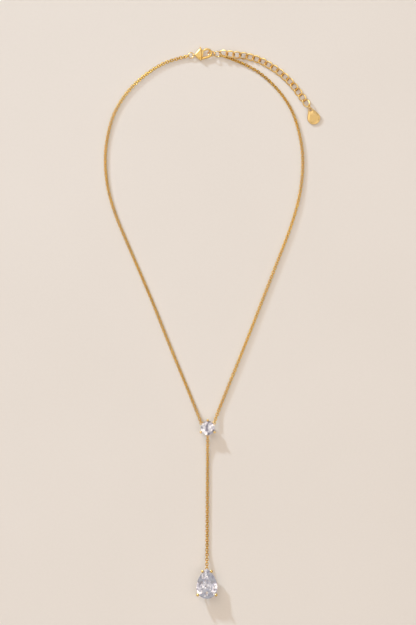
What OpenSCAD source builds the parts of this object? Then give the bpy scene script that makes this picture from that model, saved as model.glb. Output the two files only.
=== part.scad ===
// Y necklace laid flat: two neck chains meet at a round stone, a straight drop chain carries a pear stone,
// and a lobster clasp at the top closes on a ring that also holds an extender chain with a tag.
// Millimetres, +Z up, the floor at z = 0, origin under the round stone, +Y towards the clasp.

/* [Round stone] */
// Diameter of the round stone
round_d = 6.5; // [5.5:0.1:7.5]
// Height of the round stone's girdle above the floor
round_girdle_z = 3.3; // [3.1:0.1:3.8]
// Height of the crown, from girdle to table
round_crown_h = 1.05; // [0.7:0.05:1.4]
// Depth of the pavilion, from girdle to culet
round_pavilion_h = 2.75; // [2.2:0.05:2.85]
// Thickness of the girdle of both stones
girdle_h = 0.14; // [0.1:0.02:0.3]

/* [Round setting] */
// Outer diameter of the base ring of the round setting
base_ring_d = 4.2; // [3.6:0.1:5]
// Height of the base ring of both settings
base_ring_h = 0.6; // [0.4:0.05:0.9]
// Width of the base ring's wall of both settings
base_ring_wall = 0.7; // [0.5:0.05:0.9]
// Diameter of the wire of the rail that ties the prongs of the round setting
rail_wire = 0.5; // [0.4:0.05:0.7]
// Height of the rail and of its chain loops
rail_z = 1.9; // [1.6:0.05:2.1]
// Diameter of the prongs of both settings
prong_d = 0.7; // [0.5:0.05:0.85]
// Diameter of the ball on each prong of the round setting
round_ball_d = 1.15; // [1:0.05:1.4]
// Wire of the small soldered loops that hold the chains
loop_wire = 0.42; // [0.36:0.02:0.5]
// Inside diameter of the small soldered loops
loop_hole = 0.78; // [0.74:0.02:1]
// Gap that the prongs leave to the stones
stone_gap = 0.06; // [0.04:0.01:0.12]

/* [Pear stone] */
// Width of the pear stone
pear_w = 9.5; // [8.5:0.1:10.5]
// Length of the pear stone, from tip to round end
pear_l = 13.8; // [12.5:0.1:15]
// Height of the pear stone's girdle above the floor
pear_girdle_z = 3.9; // [3.7:0.1:4.6]
// Height of the crown of the pear stone
pear_crown_h = 1.35; // [0.9:0.05:1.7]
// Depth of the pavilion of the pear stone
pear_pavilion_h = 3.3; // [2.5:0.05:3.4]
// Diameter of the ball on each prong of the pear setting
pear_ball_d = 1.4; // [1.1:0.05:1.6]
// Height of the pear setting's rail and of its chain loop
pear_rail_z = 2.2; // [1.8:0.05:2.6]
// Height of the band that makes the pear setting's rail
pear_rail_h = 0.6; // [0.4:0.05:0.8]
// Distance from the round stone's centre to the round end of the pear stone
drop_l = 77.4; // [72:0.2:82]
// Sideways lie of the pear stone under the round stone
pear_x = -0.36; // [-1:0.02:1]

/* [Cable chain] */
// Outer length of one cable link
link_l = 2.02; // [1.9:0.02:2.2]
// Outer width of one cable link
link_w = 1.5; // [1.44:0.02:1.7]
// Wire of the cable links
link_wire = 0.4; // [0.34:0.02:0.42]
// Play between links that pull on each other
link_play = 0.13; // [0.12:0.01:0.16]
// Roll of the cable links along the chain where it lies on the floor, with each link crossed to the last
link_roll = 10; // [5:5:45]
// Play between rings, and between a chain's end and what it hangs on
play = 0.1; // [0.1:0.01:0.14]
// Extra play where a chain hangs on a ring that is tipped
tipped_play = 0.12; // [0.1:0.01:0.2]

/* [Extender chain] */
// Outer length of one curb link of the extender
curb_l = 4.34; // [4.2:0.02:4.6]
// Outer width of one curb link
curb_w = 3.35; // [3.1:0.05:3.7]
// Wire of the curb links
curb_wire = 0.54; // [0.45:0.01:0.58]
// Height that the twist lifts the wire of a curb link above its middle
curb_lift = 0.46; // [0.4:0.01:0.5]

/* [Lobster clasp] */
// Radius of the centre line of the clasp's hook, which the plan of the clasp follows
hook_r = 1.8; // [1.7:0.02:2]
// Diameter of the hook's wire
hook_wire = 1; // [0.9:0.02:1.04]
// Diameter of the arm that carries the hook
arm_d = 1.15; // [1.05:0.02:1.3]
// Thickness of the clasp's body
body_t = 2.2; // [2:0.05:2.6]
// Thickness of the lever
lever_t = 0.8; // [0.6:0.02:1]
// Gap between the lever and each cheek of the body
lever_gap = 0.08; // [0.06:0.01:0.12]
// Diameter of the pivot pin
pin_d = 0.7; // [0.5:0.02:0.8]
// Running clearance all round the pivot pin
pin_gap = 0.04; // [0.03:0.01:0.06]
// Wall of the lever's boss round the pivot pin
boss_wall = 0.23; // [0.2:0.01:0.26]
// Turn of the clasp in plan
clasp_turn = 3; // [0:0.5:6]
// Wire of the clasp's tail loop
tail_wire = 0.45; // [0.35:0.01:0.5]
// Inside diameter of the clasp's tail loop
tail_hole = 0.82; // [0.8:0.02:1]

/* [Rings] */
// Wire of the jump rings
ring_wire = 0.42; // [0.36:0.01:0.44]
// Outer diameter of the jump ring on the clasp's tail
clasp_ring_d = 2.9; // [2.6:0.05:3.4]
// Outer diameter of the ring that the clasp catches
catch_ring_d = 3.65; // [3.5:0.05:3.9]
// Outer diameter of the ring that gathers the neck chain and the extender
end_ring_d = 3.75; // [3.6:0.05:4.1]
// Outer diameter of the ring that carries the tag
tag_ring_d = 2.8; // [2.6:0.05:3]

/* [Tag] */
// Width of the tag
tag_w = 5.9; // [5.2:0.1:6.6]
// Length of the tag, from tip to round end
tag_l = 8.1; // [7.4:0.1:9]
// Thickness of the tag
tag_t = 0.7; // [0.6:0.05:0.8]
// Radius of the tag's tip
tag_tip_r = 0.95; // [0.9:0.05:1.2]
// Diameter of the hole in the tag
tag_hole_d = 1.26; // [1.22:0.02:1.3]
// Width of the raised rim round the tag's face
tag_rim = 0.6; // [0.5:0.05:0.8]
// Depth of the tag's field below its rim
tag_sink = 0.12; // [0.06:0.02:0.2]

/* [Hidden] */
// Chosen routes of the chains in plan with the height of their middle, between what holds their ends
FLOOR = 0;
left_route = [
    [-7.1, 12.7, FLOOR], [-13.1, 27.3, FLOOR], [-19, 41.8, FLOOR], [-24.8, 56.4, FLOOR],
    [-30.9, 70.9, FLOOR], [-37.2, 85.5, FLOOR], [-41.7, 96.4, FLOOR], [-45, 107.3, FLOOR],
    [-46.5, 118.3, FLOOR], [-46.1, 129.2, FLOOR], [-43.6, 140.1, FLOOR], [-40.2, 147.4, FLOOR],
    [-35.4, 154, FLOOR], [-29.9, 159.3, FLOOR], [-24.4, 163.3, FLOOR], [-19, 166.2, FLOOR],
    [-13.5, 168, FLOOR]
];
right_route = [
    [5.4, 9.1, FLOOR], [9.8, 20, FLOOR], [14.2, 30.9, FLOOR], [20, 45.5, FLOOR], [25.6, 60, FLOOR],
    [31.3, 74.6, FLOOR], [36.9, 89.1, FLOOR], [40.4, 100.1, FLOOR], [42.6, 111, FLOOR],
    [43.2, 121.9, FLOOR], [42.2, 131.2, FLOOR], [39.2, 142, FLOOR], [34.4, 150.6, FLOOR],
    [27.8, 158, FLOOR], [20.6, 163.4, FLOOR], [10.6, 167.9, FLOOR]
];
// Place of the clasp's hook and of the tag's tip in plan, the turn of the tag and of its ring
hook_at = [-0.2, 170.4];
tag_at = [46.3, 145.7];
tag_turn = 22;
tag_ring_dir = tag_turn - 90;
// The extender starts over the neck chain, and its last two places are measured from the tag's tip
from_tag = [[-7.3, 9.9], [-3, 4.2]];
extender_route = [
    [11.4, 169.7, 2.1], [17.6, 169, 0.95], [23.6, 167.2, FLOOR], [29, 164.3, FLOOR], [34.2, 160.5, FLOOR],
    concat(tag_at + from_tag[0], FLOOR), concat(tag_at + from_tag[1], FLOOR)
];
// Directions in plan of the rings beyond the hook, and how far each is tipped about the line of the chain
catch_ring_dir = -7;
end_ring_dir = -5;
catch_ring_tip = -45;
end_ring_tip = 50;
tag_ring_tip = -70;
// Places round the end ring where the extender and the neck chain hang on
extender_on_ring = 30;
chain_on_ring = -28;

// Round setting: where its prongs and its loops stand
prong_dirs = [90, 210, 330];
left_loop_dir = 142;
right_loop_dir = 38;
drop_loop_dir = 270;
loop_dirs = [right_loop_dir, left_loop_dir, drop_loop_dir];
girdle_r = round_d / 2;
base_r = (base_ring_d - base_ring_wall) / 2;
knee_out = stone_gap + prong_d / 2 + 0.06;
knee_drop = 0.4;
knee_bead = 0.04;
knee_r = girdle_r + knee_out;
knee_z = round_girdle_z - knee_drop;
prong_slope = (knee_r - base_r) / (knee_z - base_ring_h / 2);
rail_r = min(base_r + (rail_z - base_ring_h / 2) * prong_slope, girdle_r - rail_wire / 2);
loop_r = (loop_hole + loop_wire) / 2;
solder = 0.05;
loop_reach = rail_r + rail_wire / 2 + loop_r - solder;
round_ball_share = 0.3;
round_ball_r = girdle_r + round_ball_d * round_ball_share;
round_ball_z = round_girdle_z + girdle_h / 2
    + sqrt(pow(round_ball_d / 2 + stone_gap, 2) - pow(round_ball_r - girdle_r, 2));
function loop_at(dir) = [loop_reach * cos(dir), loop_reach * sin(dir), rail_z];

// Pear outline: a half circle and two side arcs that start upright at the widest place and meet at the tip
pear_r = pear_w / 2;
pear_tip = pear_l - pear_r;
pear_side_r = (pear_tip * pear_tip + pear_r * pear_r) / (2 * pear_r);
pear_side_x = pear_side_r - pear_r;
pear_at = [pear_x, pear_r - drop_l, 0];
pear_inset = 2.1;
pear_rail_inset = 0.5;
pear_solder = 0.15;
pear_loop_reach = tip_of(pear_rail_inset) + loop_r - pear_solder;
pear_loop_at = pear_at + [0, pear_loop_reach, pear_rail_z];
function tip_angle(inset) = acos(pear_side_x / (pear_side_r - inset));
function tip_of(inset) = (pear_side_r - inset) * sin(tip_angle(inset));
function side_point(angle, inset) = [(pear_side_r - inset) * cos(angle) - pear_side_x,
    (pear_side_r - inset) * sin(angle)];
function pear_outline(inset, side_n, round_n) = concat(
    [for (i = [0:side_n]) side_point(tip_angle(inset) * i / side_n, inset)],
    [for (i = [side_n - 1:-1:0]) mirrored(side_point(tip_angle(inset) * i / side_n, inset))],
    [for (i = [1:round_n - 1])
        let (a = 180 + 180 * i / round_n)
        (pear_r - inset) * [cos(a), sin(a)]]
);
function mirrored(p) = [-p.x, p.y];

// Clasp: shares of the hook's radius in plan, measured from the hook's centre
pin_share = [-1.86, -0.833];
body_shares = [[-2.83, -0.333, 0.28], [-1.75, 0.806, 0.25], [-1.83, -1.278, 0.28]];
lever_shares = [
    [-1.556, -0.833], [-1.083, -0.611], [-1, 0.333], [-0.806, 0.636], [-1.017, 0.828], [-1.306, 1.083],
    [-1.528, 1.094], [-1.556, 1.667], [-1.75, 1.722], [-1.944, 1.083], [-2.194, -0.722]
];
slot_shares = [[-2.306, -0.833], [-2.889, 1.056], [-2.5, 1.9], [-1.278, 1.9], [-1.278, -0.833]];
tail_share = [-3.389, -0.344];
hook_end = 138;
arm_dir = -80;
arm_share = 1.89;
clasp_z = body_t / 2;
slot_h = lever_t + 2 * lever_gap;
boss_r = pin_d / 2 + pin_gap + boss_wall;
boss_clear = 0.1;
rivet_proud = 0.04;
edge_bevel = 0.4;
tail_r = (tail_hole + tail_wire) / 2;
tail_at = hook_r * tail_share;
function on_clasp(p, z) = [
    hook_at.x + p.x * cos(clasp_turn) - p.y * sin(clasp_turn),
    hook_at.y + p.x * sin(clasp_turn) + p.y * cos(clasp_turn), z
];

// Rings: centre line radius and centre of each
clasp_ring_r = (clasp_ring_d - ring_wire) / 2;
catch_ring_r = (catch_ring_d - ring_wire) / 2;
end_ring_r = (end_ring_d - ring_wire) / 2;
tag_ring_r = (tag_ring_d - ring_wire) / 2;
hook_slack = 0.7;
floor_clear = 0.01;
clasp_ring_x = tail_at.x - tail_hole / 2 + play + ring_wire / 2 - clasp_ring_r;
clasp_ring_at = on_clasp([clasp_ring_x, tail_at.y], clasp_z);
catch_reach = hook_r - hook_wire / 2 - hook_slack + catch_ring_r - ring_wire / 2;
catch_ring_z = catch_ring_r * abs(sin(catch_ring_tip)) + ring_wire / 2 + floor_clear;
catch_ring_at = [hook_at.x, hook_at.y, catch_ring_z]
    + catch_reach * [cos(catch_ring_dir), sin(catch_ring_dir), 0];
end_reach = catch_ring_r + end_ring_r - ring_wire - play;
end_ring_z = end_ring_r * abs(sin(end_ring_tip)) + ring_wire / 2 + floor_clear;
end_ring_at = [catch_ring_at.x, catch_ring_at.y, end_ring_z]
    + end_reach * [cos(end_ring_dir), sin(end_ring_dir), 0];
function on_ring(at, r, turn, tip, place) = at + r * [
    cos(place) * cos(turn) - sin(place) * cos(tip) * sin(turn),
    cos(place) * sin(turn) + sin(place) * cos(tip) * cos(turn),
    sin(place) * sin(tip)
];

// Tag: its round end rests on the floor and its tip is lifted by the ring that passes under it
tag_r = tag_w / 2;
tag_d = tag_l - tag_r - tag_tip_r;
tag_way = [sin(tag_turn), -cos(tag_turn), 0];
tag_ring_z = tag_ring_r * abs(sin(tag_ring_tip)) + ring_wire / 2 + floor_clear;
tag_hole_back = 0.1;
tag_hang = 0.05;
tag_hole_y = tag_d - tag_hole_back;
tag_pitch = asin((tag_ring_z - tag_t / 2) / (tag_hole_y + tag_r));
tag_hole_at = [tag_at.x, tag_at.y, tag_ring_z] + (tag_l - tag_r - tag_hole_y) * tag_way;
tag_ring_at = tag_hole_at - (tag_ring_r + tag_hang) * tag_way;

// Chain ends: the middle of the wire that each chain hangs on, and the way the chain leaves it in plan
function flat_way(from, to) = unit([to.x - from.x, to.y - from.y, 0]);
function unit(v) = v / norm(v);
left_way = flat_way(loop_at(left_loop_dir), left_route[0]);
right_way = flat_way(loop_at(right_loop_dir), right_route[0]);
left_low = loop_at(left_loop_dir) + loop_r * left_way;
right_low = loop_at(right_loop_dir) + loop_r * right_way;
left_top_way = flat_way(clasp_ring_at, left_route[len(left_route) - 1]);
left_top = clasp_ring_at + clasp_ring_r * left_top_way;
right_top = on_ring(end_ring_at, end_ring_r, end_ring_dir, end_ring_tip, chain_on_ring);
right_top_way = flat_way(right_top, right_route[len(right_route) - 1]);
extender_on = on_ring(end_ring_at, end_ring_r, end_ring_dir, end_ring_tip, extender_on_ring);
extender_way = flat_way(extender_on, extender_route[0]);
extender_end_way = flat_way(tag_ring_at, extender_route[len(extender_route) - 1]);
extender_end = tag_ring_at + tag_ring_r * extender_end_way;
drop_top = loop_at(drop_loop_dir) + [0, -loop_r, 0];
drop_end = pear_loop_at + [0, loop_r, 0];

// Curves: a smooth curve through a route's points, its length so far, and a place at a length along it
STEPS = 8;
function spline(a, b, c, d, t) = 0.5 * (2 * b + (c - a) * t + (2 * a - 5 * b + 4 * c - d) * t * t
    + (3 * b - a - 3 * c + d) * t * t * t);
function route_at(r, i) = i < 0 ? 2 * r[0] - r[1] : i >= len(r) ? 2 * r[len(r) - 1] - r[len(r) - 2] : r[i];
function curve(r, steps) = concat(
    [for (i = [0:len(r) - 2]) for (j = [0:steps - 1])
        spline(route_at(r, i - 1), r[i], r[i + 1], route_at(r, i + 2), j / steps)],
    [r[len(r) - 1]]
);
function lengths(c) =
    [for (i = 0, s = 0; i < len(c); i = i + 1, s = s + (i < len(c) ? norm(c[i] - c[i - 1]) : 0)) s];
function place(c, s, at) = [for (k = [0:2]) lookup(at, [for (i = [0:len(c) - 1]) [s[i], c[i][k]]])];
function lifted(route, rest) = [for (p = route) raised(p, rest)];
function raised(p, rest) = [p.x, p.y, max(p.z, rest)];

// Chain links: the height of a chain's middle when its links are rolled and lie on the floor
cable_lift = function (roll) (link_w - link_wire) / 2 * max(abs(sin(roll)), abs(cos(roll))) + link_wire / 2;
cable_rest = cable_lift(link_roll);
curb_rest = curb_lift + curb_wire / 2;
curb_height = function (roll) curb_rest;
tube_gap = 0.4;
cap_r = (link_w - link_wire) / 2;
cap_x = (link_l - link_w) / 2;
CAP_ANGLES = [-90:30:90];
// Centre line of a cable link, along and across: two half circles joined by straight sides
cable_line = concat(
    [for (a = CAP_ANGLES) [cap_x + cap_r * cos(a), cap_r * sin(a), 0]],
    [for (a = CAP_ANGLES) [-cap_x - cap_r * cos(a), -cap_r * sin(a), 0]]
);
// Centre line of a curb link: an oval whose two ends are twisted opposite ways
CURB_N = 16;
curb_line = [for (i = [0:CURB_N - 1]) [
    (curb_l - curb_wire) / 2 * cos(360 * i / CURB_N),
    (curb_w - curb_wire) / 2 * sin(360 * i / CURB_N),
    curb_lift * sin(720 * i / CURB_N)
]];

// Rings of wire points round a closed centre line, each square to the line
function wire_points(line, wire, sides) = [for (i = [0:len(line) - 1])
    let (n = len(line))
    let (way = unit(line[(i + 1) % n] - line[(i + n - 1) % n]))
    let (out = unit(line[i] - way * (line[i] * way)))
    let (side = cross(way, out))
    for (k = [0:sides - 1])
        let (a = 360 * k / sides)
        line[i] + wire / 2 * (cos(a) * out + sin(a) * side)];
function wire_faces(n, sides, first) = [for (i = [0:n - 1]) for (k = [0:sides - 1])
    let (j = (i + 1) % n)
    let (m = (k + 1) % sides)
    [first + i * sides + k, first + i * sides + m, first + j * sides + m, first + j * sides + k]];

// Turns a link's own points to lie along a way, rolled about it, with its middle at a place
function placed(points, at, way, roll) =
    let (level = unit(cross([0, 0, 1], way)))
    let (up = cross(way, level))
    let (across = cos(roll) * level + sin(roll) * up)
    let (through = cross(way, across))
    [for (p = points) at + p.x * way + p.y * across + p.z * through];

// A chain of links from seat to seat: as many as fit at no more than the pulled pitch, set evenly,
// and one more where that lets the last link lie like the first
module link_chain(line, link_length, wire, sides, route, roll_0, roll_step, roll_mid, rest) {
    points = wire_points(line, wire, sides);
    path = curve(route, STEPS);
    s = lengths(path);
    total = s[len(s) - 1];
    half = (link_length - wire) / 2;
    fit = ceil((total - 2 * half) / (link_length - 2 * wire - link_play)) + 1;
    count = roll_step * (fit - 1) % 180 == 0 ? fit : fit + 1;
    pitch = (total - 2 * half) / (count - 1);
    centres = [for (i = [0:count - 1]) half + i * pitch];
    all_points = [for (i = [0:count - 1])
        let (c = centres[i])
        let (way = unit(place(path, s, min(c + half / 3, total)) - place(path, s, max(c - half / 3, 0))))
        let (roll = roll_0 + roll_step * i + roll_twist(c / total, roll_mid, 0))
        placed(points, raised(place(path, s, c), rest(roll)), way, roll)];
    polyhedron(
        points = [for (link = all_points) each link],
        faces = [for (i = [0:count - 1]) each wire_faces(len(line), sides, i * len(points))],
        convexity = 10
    );
}
// Twist along a chain, by share of its length: none at the start, then the middle roll, then the end's
TWIST_SHARE = 0.12;
function roll_twist(share, mid, end) = share < 0.5 ? mid * ease(share / TWIST_SHARE)
    : mid + (end - mid) * ease((share - 1 + TWIST_SHARE) / TWIST_SHARE);
function ease(t) = t <= 0 ? 0 : t >= 1 ? 1 : t * t * (3 - 2 * t);

// A smooth tube swept along a route, with flat ends, as thick everywhere as the links that it stands for
TUBE_SIDES = 8;
module tube(route, end_roll) {
    flat_path = curve(route, 2);
    n = len(flat_path);
    s = lengths(flat_path);
    rests = [for (at = s) cable_lift(roll_twist(at / s[n - 1], link_roll, end_roll))];
    path = [for (i = [0:n - 1]) raised(flat_path[i], rests[i])];
    points = [for (i = [0:n - 1])
        let (way = unit(path[min(i + 1, n - 1)] - path[max(i - 1, 0)]))
        let (level = unit(cross([0, 0, 1], way)))
        let (up = cross(way, level))
        for (k = [0:TUBE_SIDES - 1])
            let (a = 360 * (k + 0.5) / TUBE_SIDES)
            path[i] + rests[i] / cos(180 / TUBE_SIDES) * (cos(a) * level + sin(a) * up)];
    sides = [for (i = [0:n - 2]) for (k = [0:TUBE_SIDES - 1])
        let (m = (k + 1) % TUBE_SIDES)
        [i * TUBE_SIDES + k, i * TUBE_SIDES + m, (i + 1) * TUBE_SIDES + m, (i + 1) * TUBE_SIDES + k]];
    first = [for (k = [TUBE_SIDES - 1:-1:0]) k];
    last = [for (k = [0:TUBE_SIDES - 1]) (n - 1) * TUBE_SIDES + k];
    polyhedron(points = points, faces = concat([first], sides, [last]), convexity = 10);
}
// Roll of the right neck chain's end, past square, where it hangs on the tipped end ring
RIGHT_END_ROLL = 44;
// Start of a tube or seat of a chain at a holding wire, out along the way or back into the ring
function clear_of(on, way, wire) = on + (wire / 2 + tube_gap) * way;
function seat_on(on, way, wire, own_wire, gap = play) = on - (wire / 2 + own_wire / 2 + gap) * way;

// A round rod between two points
module rod(from, to, d) {
    v = to - from;
    translate(from)
        rotate([0, acos(v.z / norm(v)), atan2(v.y, v.x)])
            cylinder(h = norm(v), d = d, $fn = 32);
}

// A round ring of wire lying in the XY plane
module wire_ring(r, wire) {
    rotate_extrude($fn = 48)
        translate([r, 0])
            circle(d = wire, $fn = 24);
}

// A jump ring tipped about the line it lies on
module jump_ring(at, r, turn, tip) {
    translate(at)
        rotate([0, 0, turn])
            rotate([tip, 0, 0])
                wire_ring(r, ring_wire);
}

// A prong that rises from the base past a knee to a ball on the stone's edge
module prong(base, knee, ball, ball_d) {
    rod(base, knee, prong_d);
    translate(knee)
        sphere(d = prong_d + knee_bead, $fn = 32);
    rod(knee, ball, prong_d);
    translate(ball)
        sphere(d = ball_d, $fn = 32);
}

// A brilliant cut stone: table, star, kite and upper girdle facets, a girdle, and a pavilion of halves
// and kites that runs down to a point, or to a keel between two points where the stone is long
TABLE_SHARE = 0.56;
STAR_SHARE = 0.8;
module cut_stone(outline, middle, keel, keel_split, girdle_z, crown_h, pavilion_rows) {
    n = len(outline);
    half = n / 2;
    high = girdle_z + girdle_h / 2;
    low = girdle_z - girdle_h / 2;
    top_z = high + crown_h;
    lean = cos(360 / n);
    star_z = top_z - (STAR_SHARE * lean - TABLE_SHARE) / (1 - TABLE_SHARE) * crown_h;
    function shrunk(p, share, z) = concat(middle + share * (p - middle), z);
    function foot(p) = len(keel) > 1 && p.y > keel_split ? 1 : 0;
    function sunk(p, row) =
        let (deepest = keel[foot(p)])
        let (plan = [deepest.x, deepest.y])
        concat(plan + row[SHARE] * (p - plan), low - row[FALL] * deepest.z);
    points = concat(
        [for (k = [0:half - 1]) shrunk(outline[2 * k], TABLE_SHARE, top_z)],
        [for (k = [0:half - 1]) shrunk(outline[2 * k + 1], STAR_SHARE, star_z)],
        [for (p = outline) concat(p, high)],
        [for (p = outline) concat(p, low)],
        [for (k = [0:half - 1]) sunk(outline[2 * k + 1], pavilion_rows[0])],
        [for (k = [0:half - 1]) sunk(outline[2 * k], pavilion_rows[1])],
        [for (p = keel) [p.x, p.y, low - p.z]]
    );
    star = half;
    upper = n;
    lower = 2 * n;
    deep = 3 * n;
    deeper = 3 * n + half;
    function culet(k) = 4 * n + foot(outline[2 * k + 1]);
    faces = [for (k = [0:half - 1])
        let (k1 = (k + 1) % half)
        let (g = 2 * k)
        let (g1 = 2 * k + 1)
        let (g2 = (2 * k + 2) % n)
        each [
            [k, star + k, k1],
            [k, upper + g, star + k],
            [k1, star + k, upper + g2],
            [star + k, upper + g, upper + g1],
            [star + k, upper + g1, upper + g2],
            [upper + g, lower + g, lower + g1, upper + g1],
            [upper + g1, lower + g1, lower + g2, upper + g2],
            [deep + k, lower + g1, lower + g],
            [deep + k, lower + g2, lower + g1],
            [deeper + k, deep + k, lower + g],
            [deeper + k1, lower + g2, deep + k],
            [culet(k), deep + k, deeper + k],
            [culet(k), deeper + k1, deep + k],
            if (culet(k) != culet(k1)) [deeper + k1, culet(k), culet(k1)]
        ]];
    polyhedron(points = points, faces = concat([[for (k = [0:half - 1]) k]], faces), convexity = 4);
}
// Rows of a pavilion's points: share of the way out from the deepest point, and share of the whole fall
SHARE = 0;
FALL = 1;

ROUND_FACETS = 16;
ROUND_ROWS = [[0.56, 0.46], [0.26, 0.75]];
round_outline = [for (k = [0:ROUND_FACETS - 1])
    girdle_r * [cos(360 * k / ROUND_FACETS), -sin(360 * k / ROUND_FACETS)]];
module centre_stone() {
    color("white")
        cut_stone(
            round_outline, [0, 0], [[0, 0, round_pavilion_h]], 0, round_girdle_z, round_crown_h, ROUND_ROWS
        );
}

module centre_setting() {
    color("gold") {
        difference() {
            cylinder(h = base_ring_h, d = base_ring_d, $fn = 48);
            translate([0, 0, -1])
                cylinder(h = base_ring_h + 2, d = base_ring_d - 2 * base_ring_wall, $fn = 48);
        }
        translate([0, 0, rail_z])
            wire_ring(rail_r, rail_wire);
        for (dir = prong_dirs)
            rotate([0, 0, dir])
                prong(
                    [base_r, 0, base_ring_h / 2], [knee_r, 0, knee_z],
                    [round_ball_r, 0, round_ball_z], round_ball_d
                );
        for (dir = loop_dirs)
            translate(loop_at(dir))
                wire_ring(loop_r, loop_wire);
    }
}

// Girdle points of the pear stone, evenly spaced along its outline from the tip round the right side
pear_side_len = pear_side_r * tip_angle(0) * PI / 180;
pear_half_len = pear_side_len + pear_r * PI / 2;
function pear_girdle(share) =
    let (s = pear_half_len * share)
    s <= pear_side_len
        ? side_point(tip_angle(0) - s / pear_side_r * 180 / PI, 0)
        : let (a = (s - pear_side_len) / pear_r * 180 / PI) pear_r * [cos(a), -sin(a)];
PEAR_FACETS = 24;
PEAR_ROWS = [[0.56, 0.5], [0.27, 0.77]];
pear_facets = concat(
    [for (k = [0:PEAR_FACETS / 2]) pear_girdle(2 * k / PEAR_FACETS)],
    [for (k = [PEAR_FACETS / 2 - 1:-1:1]) mirrored(pear_girdle(2 * k / PEAR_FACETS))]
);
PEAR_TABLE_UP = 0.12;
// Keel: its two ends along the stone, as shares of the round end's radius, and the second's share of depth
PEAR_KEEL = [0.05, 1.05];
PEAR_KEEL_RISE = 0.73;
pear_keel = [
    [0, pear_r * PEAR_KEEL[0], pear_pavilion_h],
    [0, pear_r * PEAR_KEEL[1], pear_pavilion_h * PEAR_KEEL_RISE]
];
pear_keel_split = pear_r * (PEAR_KEEL[0] + PEAR_KEEL[1]) / 2;
module pear_stone() {
    color("white")
        translate(pear_at)
            cut_stone(
                pear_facets, [0, pear_r * PEAR_TABLE_UP], pear_keel, pear_keel_split,
                pear_girdle_z, pear_crown_h, PEAR_ROWS
            );
}

// A band of the pear's outline, drawn in from the girdle by an inset, with a wall
module pear_band(inset, wall, z, h) {
    translate([0, 0, z])
        linear_extrude(height = h)
            difference() {
                polygon(pear_outline(inset, 12, 20));
                polygon(pear_outline(inset + wall, 12, 20));
            }
}

// Prongs of the pear setting: near the tip on the side arcs, and low on the round end
tip_prong_dir = 43;
round_prong_dir = 35;
function pear_prong_point(tip_side, inset) = tip_side
    ? side_point(tip_prong_dir, inset)
    : (pear_r - inset) * [cos(round_prong_dir), -sin(round_prong_dir)];
pear_ball_share = 0.25;
pear_ball_out = pear_ball_d * pear_ball_share;
pear_ball_z = pear_girdle_z + girdle_h / 2
    + sqrt(pow(pear_ball_d / 2 + stone_gap, 2) - pow(pear_ball_out, 2));
module pear_prong(tip_side) {
    foot = concat(pear_prong_point(tip_side, pear_inset + base_ring_wall / 2), base_ring_h / 2);
    knee = concat(pear_prong_point(tip_side, -knee_out), pear_girdle_z - knee_drop);
    ball = concat(pear_prong_point(tip_side, -pear_ball_out), pear_ball_z);
    prong(foot, knee, ball, pear_ball_d);
}

module pear_setting() {
    color("gold")
        translate(pear_at) {
            pear_band(pear_inset, base_ring_wall, 0, base_ring_h);
            pear_band(pear_rail_inset, rail_wire, pear_rail_z - pear_rail_h / 2, pear_rail_h);
            for (tip_side = [true, false]) {
                pear_prong(tip_side);
                mirror([1, 0, 0])
                    pear_prong(tip_side);
            }
            translate([0, pear_loop_reach, pear_rail_z])
                wire_ring(loop_r, loop_wire);
        }
}

module drop_chain() {
    color("gold")
        link_chain(
            cable_line, link_l, link_wire, 5,
            concat(
                [seat_on(drop_top, [0, -1, 0], loop_wire, link_wire)],
                lifted(drop_route, cable_rest),
                [seat_on(drop_end, [0, 1, 0], loop_wire, link_wire)]
            ),
            90, 90, link_roll, cable_lift
        );
}
// The drop chain lies straight, sinking from the round setting to the floor and rising again to the pear
drop_sink = 9;
drop_route = [for (share = [0:0.1:1])
    let (y = drop_top.y - drop_sink + share * (drop_end.y - drop_top.y + 2 * drop_sink))
    [pear_x * (drop_top.y - y) / (drop_top.y - drop_end.y), y, 0]];

module neck_chain_left() {
    color("gold")
        tube(
            concat([clear_of(left_low, left_way, loop_wire)], lifted(left_route, cable_rest),
                [clear_of(left_top, left_top_way, ring_wire)]),
            0
        );
}

module neck_chain_right() {
    color("gold")
        tube(
            concat([clear_of(right_low, right_way, loop_wire)], lifted(right_route, cable_rest),
                [clear_of(right_top, right_top_way, ring_wire)]),
            RIGHT_END_ROLL
        );
}

module extender_chain() {
    color("gold")
        link_chain(
            curb_line, curb_l, curb_wire, 6,
            concat(
                [seat_on(extender_on, extender_way, ring_wire, curb_wire, play + tipped_play)],
                lifted(extender_route, curb_rest),
                [seat_on(extender_end, extender_end_way, ring_wire, curb_wire, play + tipped_play)]
            ),
            0, 0, 0, curb_height
        );
}

module in_clasp() {
    translate([hook_at.x, hook_at.y, clasp_z])
        rotate([0, 0, clasp_turn])
            children();
}

// Plan of the clasp's body, drawn in by an inset
module body_plan(inset) {
    hull()
        for (c = body_shares)
            translate(hook_r * [c.x, c.y])
                circle(r = hook_r * c.z - inset, $fn = 24);
}

module clasp_shell() {
    hull() {
        translate([0, 0, edge_bevel - body_t / 2])
            linear_extrude(height = body_t - 2 * edge_bevel)
                body_plan(0);
        translate([0, 0, -body_t / 2])
            linear_extrude(height = body_t)
                body_plan(edge_bevel);
    }
    arm_at = hook_r * [cos(arm_dir), sin(arm_dir), 0];
    rod(arm_at, arm_at - hook_r * arm_share * [-sin(arm_dir), cos(arm_dir), 0], arm_d);
    rotate([0, 0, arm_dir])
        rotate_extrude(angle = hook_end - arm_dir, $fn = 48)
            translate([hook_r, 0])
                circle(d = hook_wire, $fn = 24);
    translate([tail_at.x, tail_at.y, 0])
        rotate([90, 0, 0])
            wire_ring(tail_r, tail_wire);
}

module clasp_slot() {
    translate([0, 0, -slot_h / 2])
        linear_extrude(height = slot_h) {
            polygon(hook_r * slot_shares);
            translate(hook_r * pin_share)
                circle(r = boss_r + boss_clear, $fn = 32);
        }
}

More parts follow.
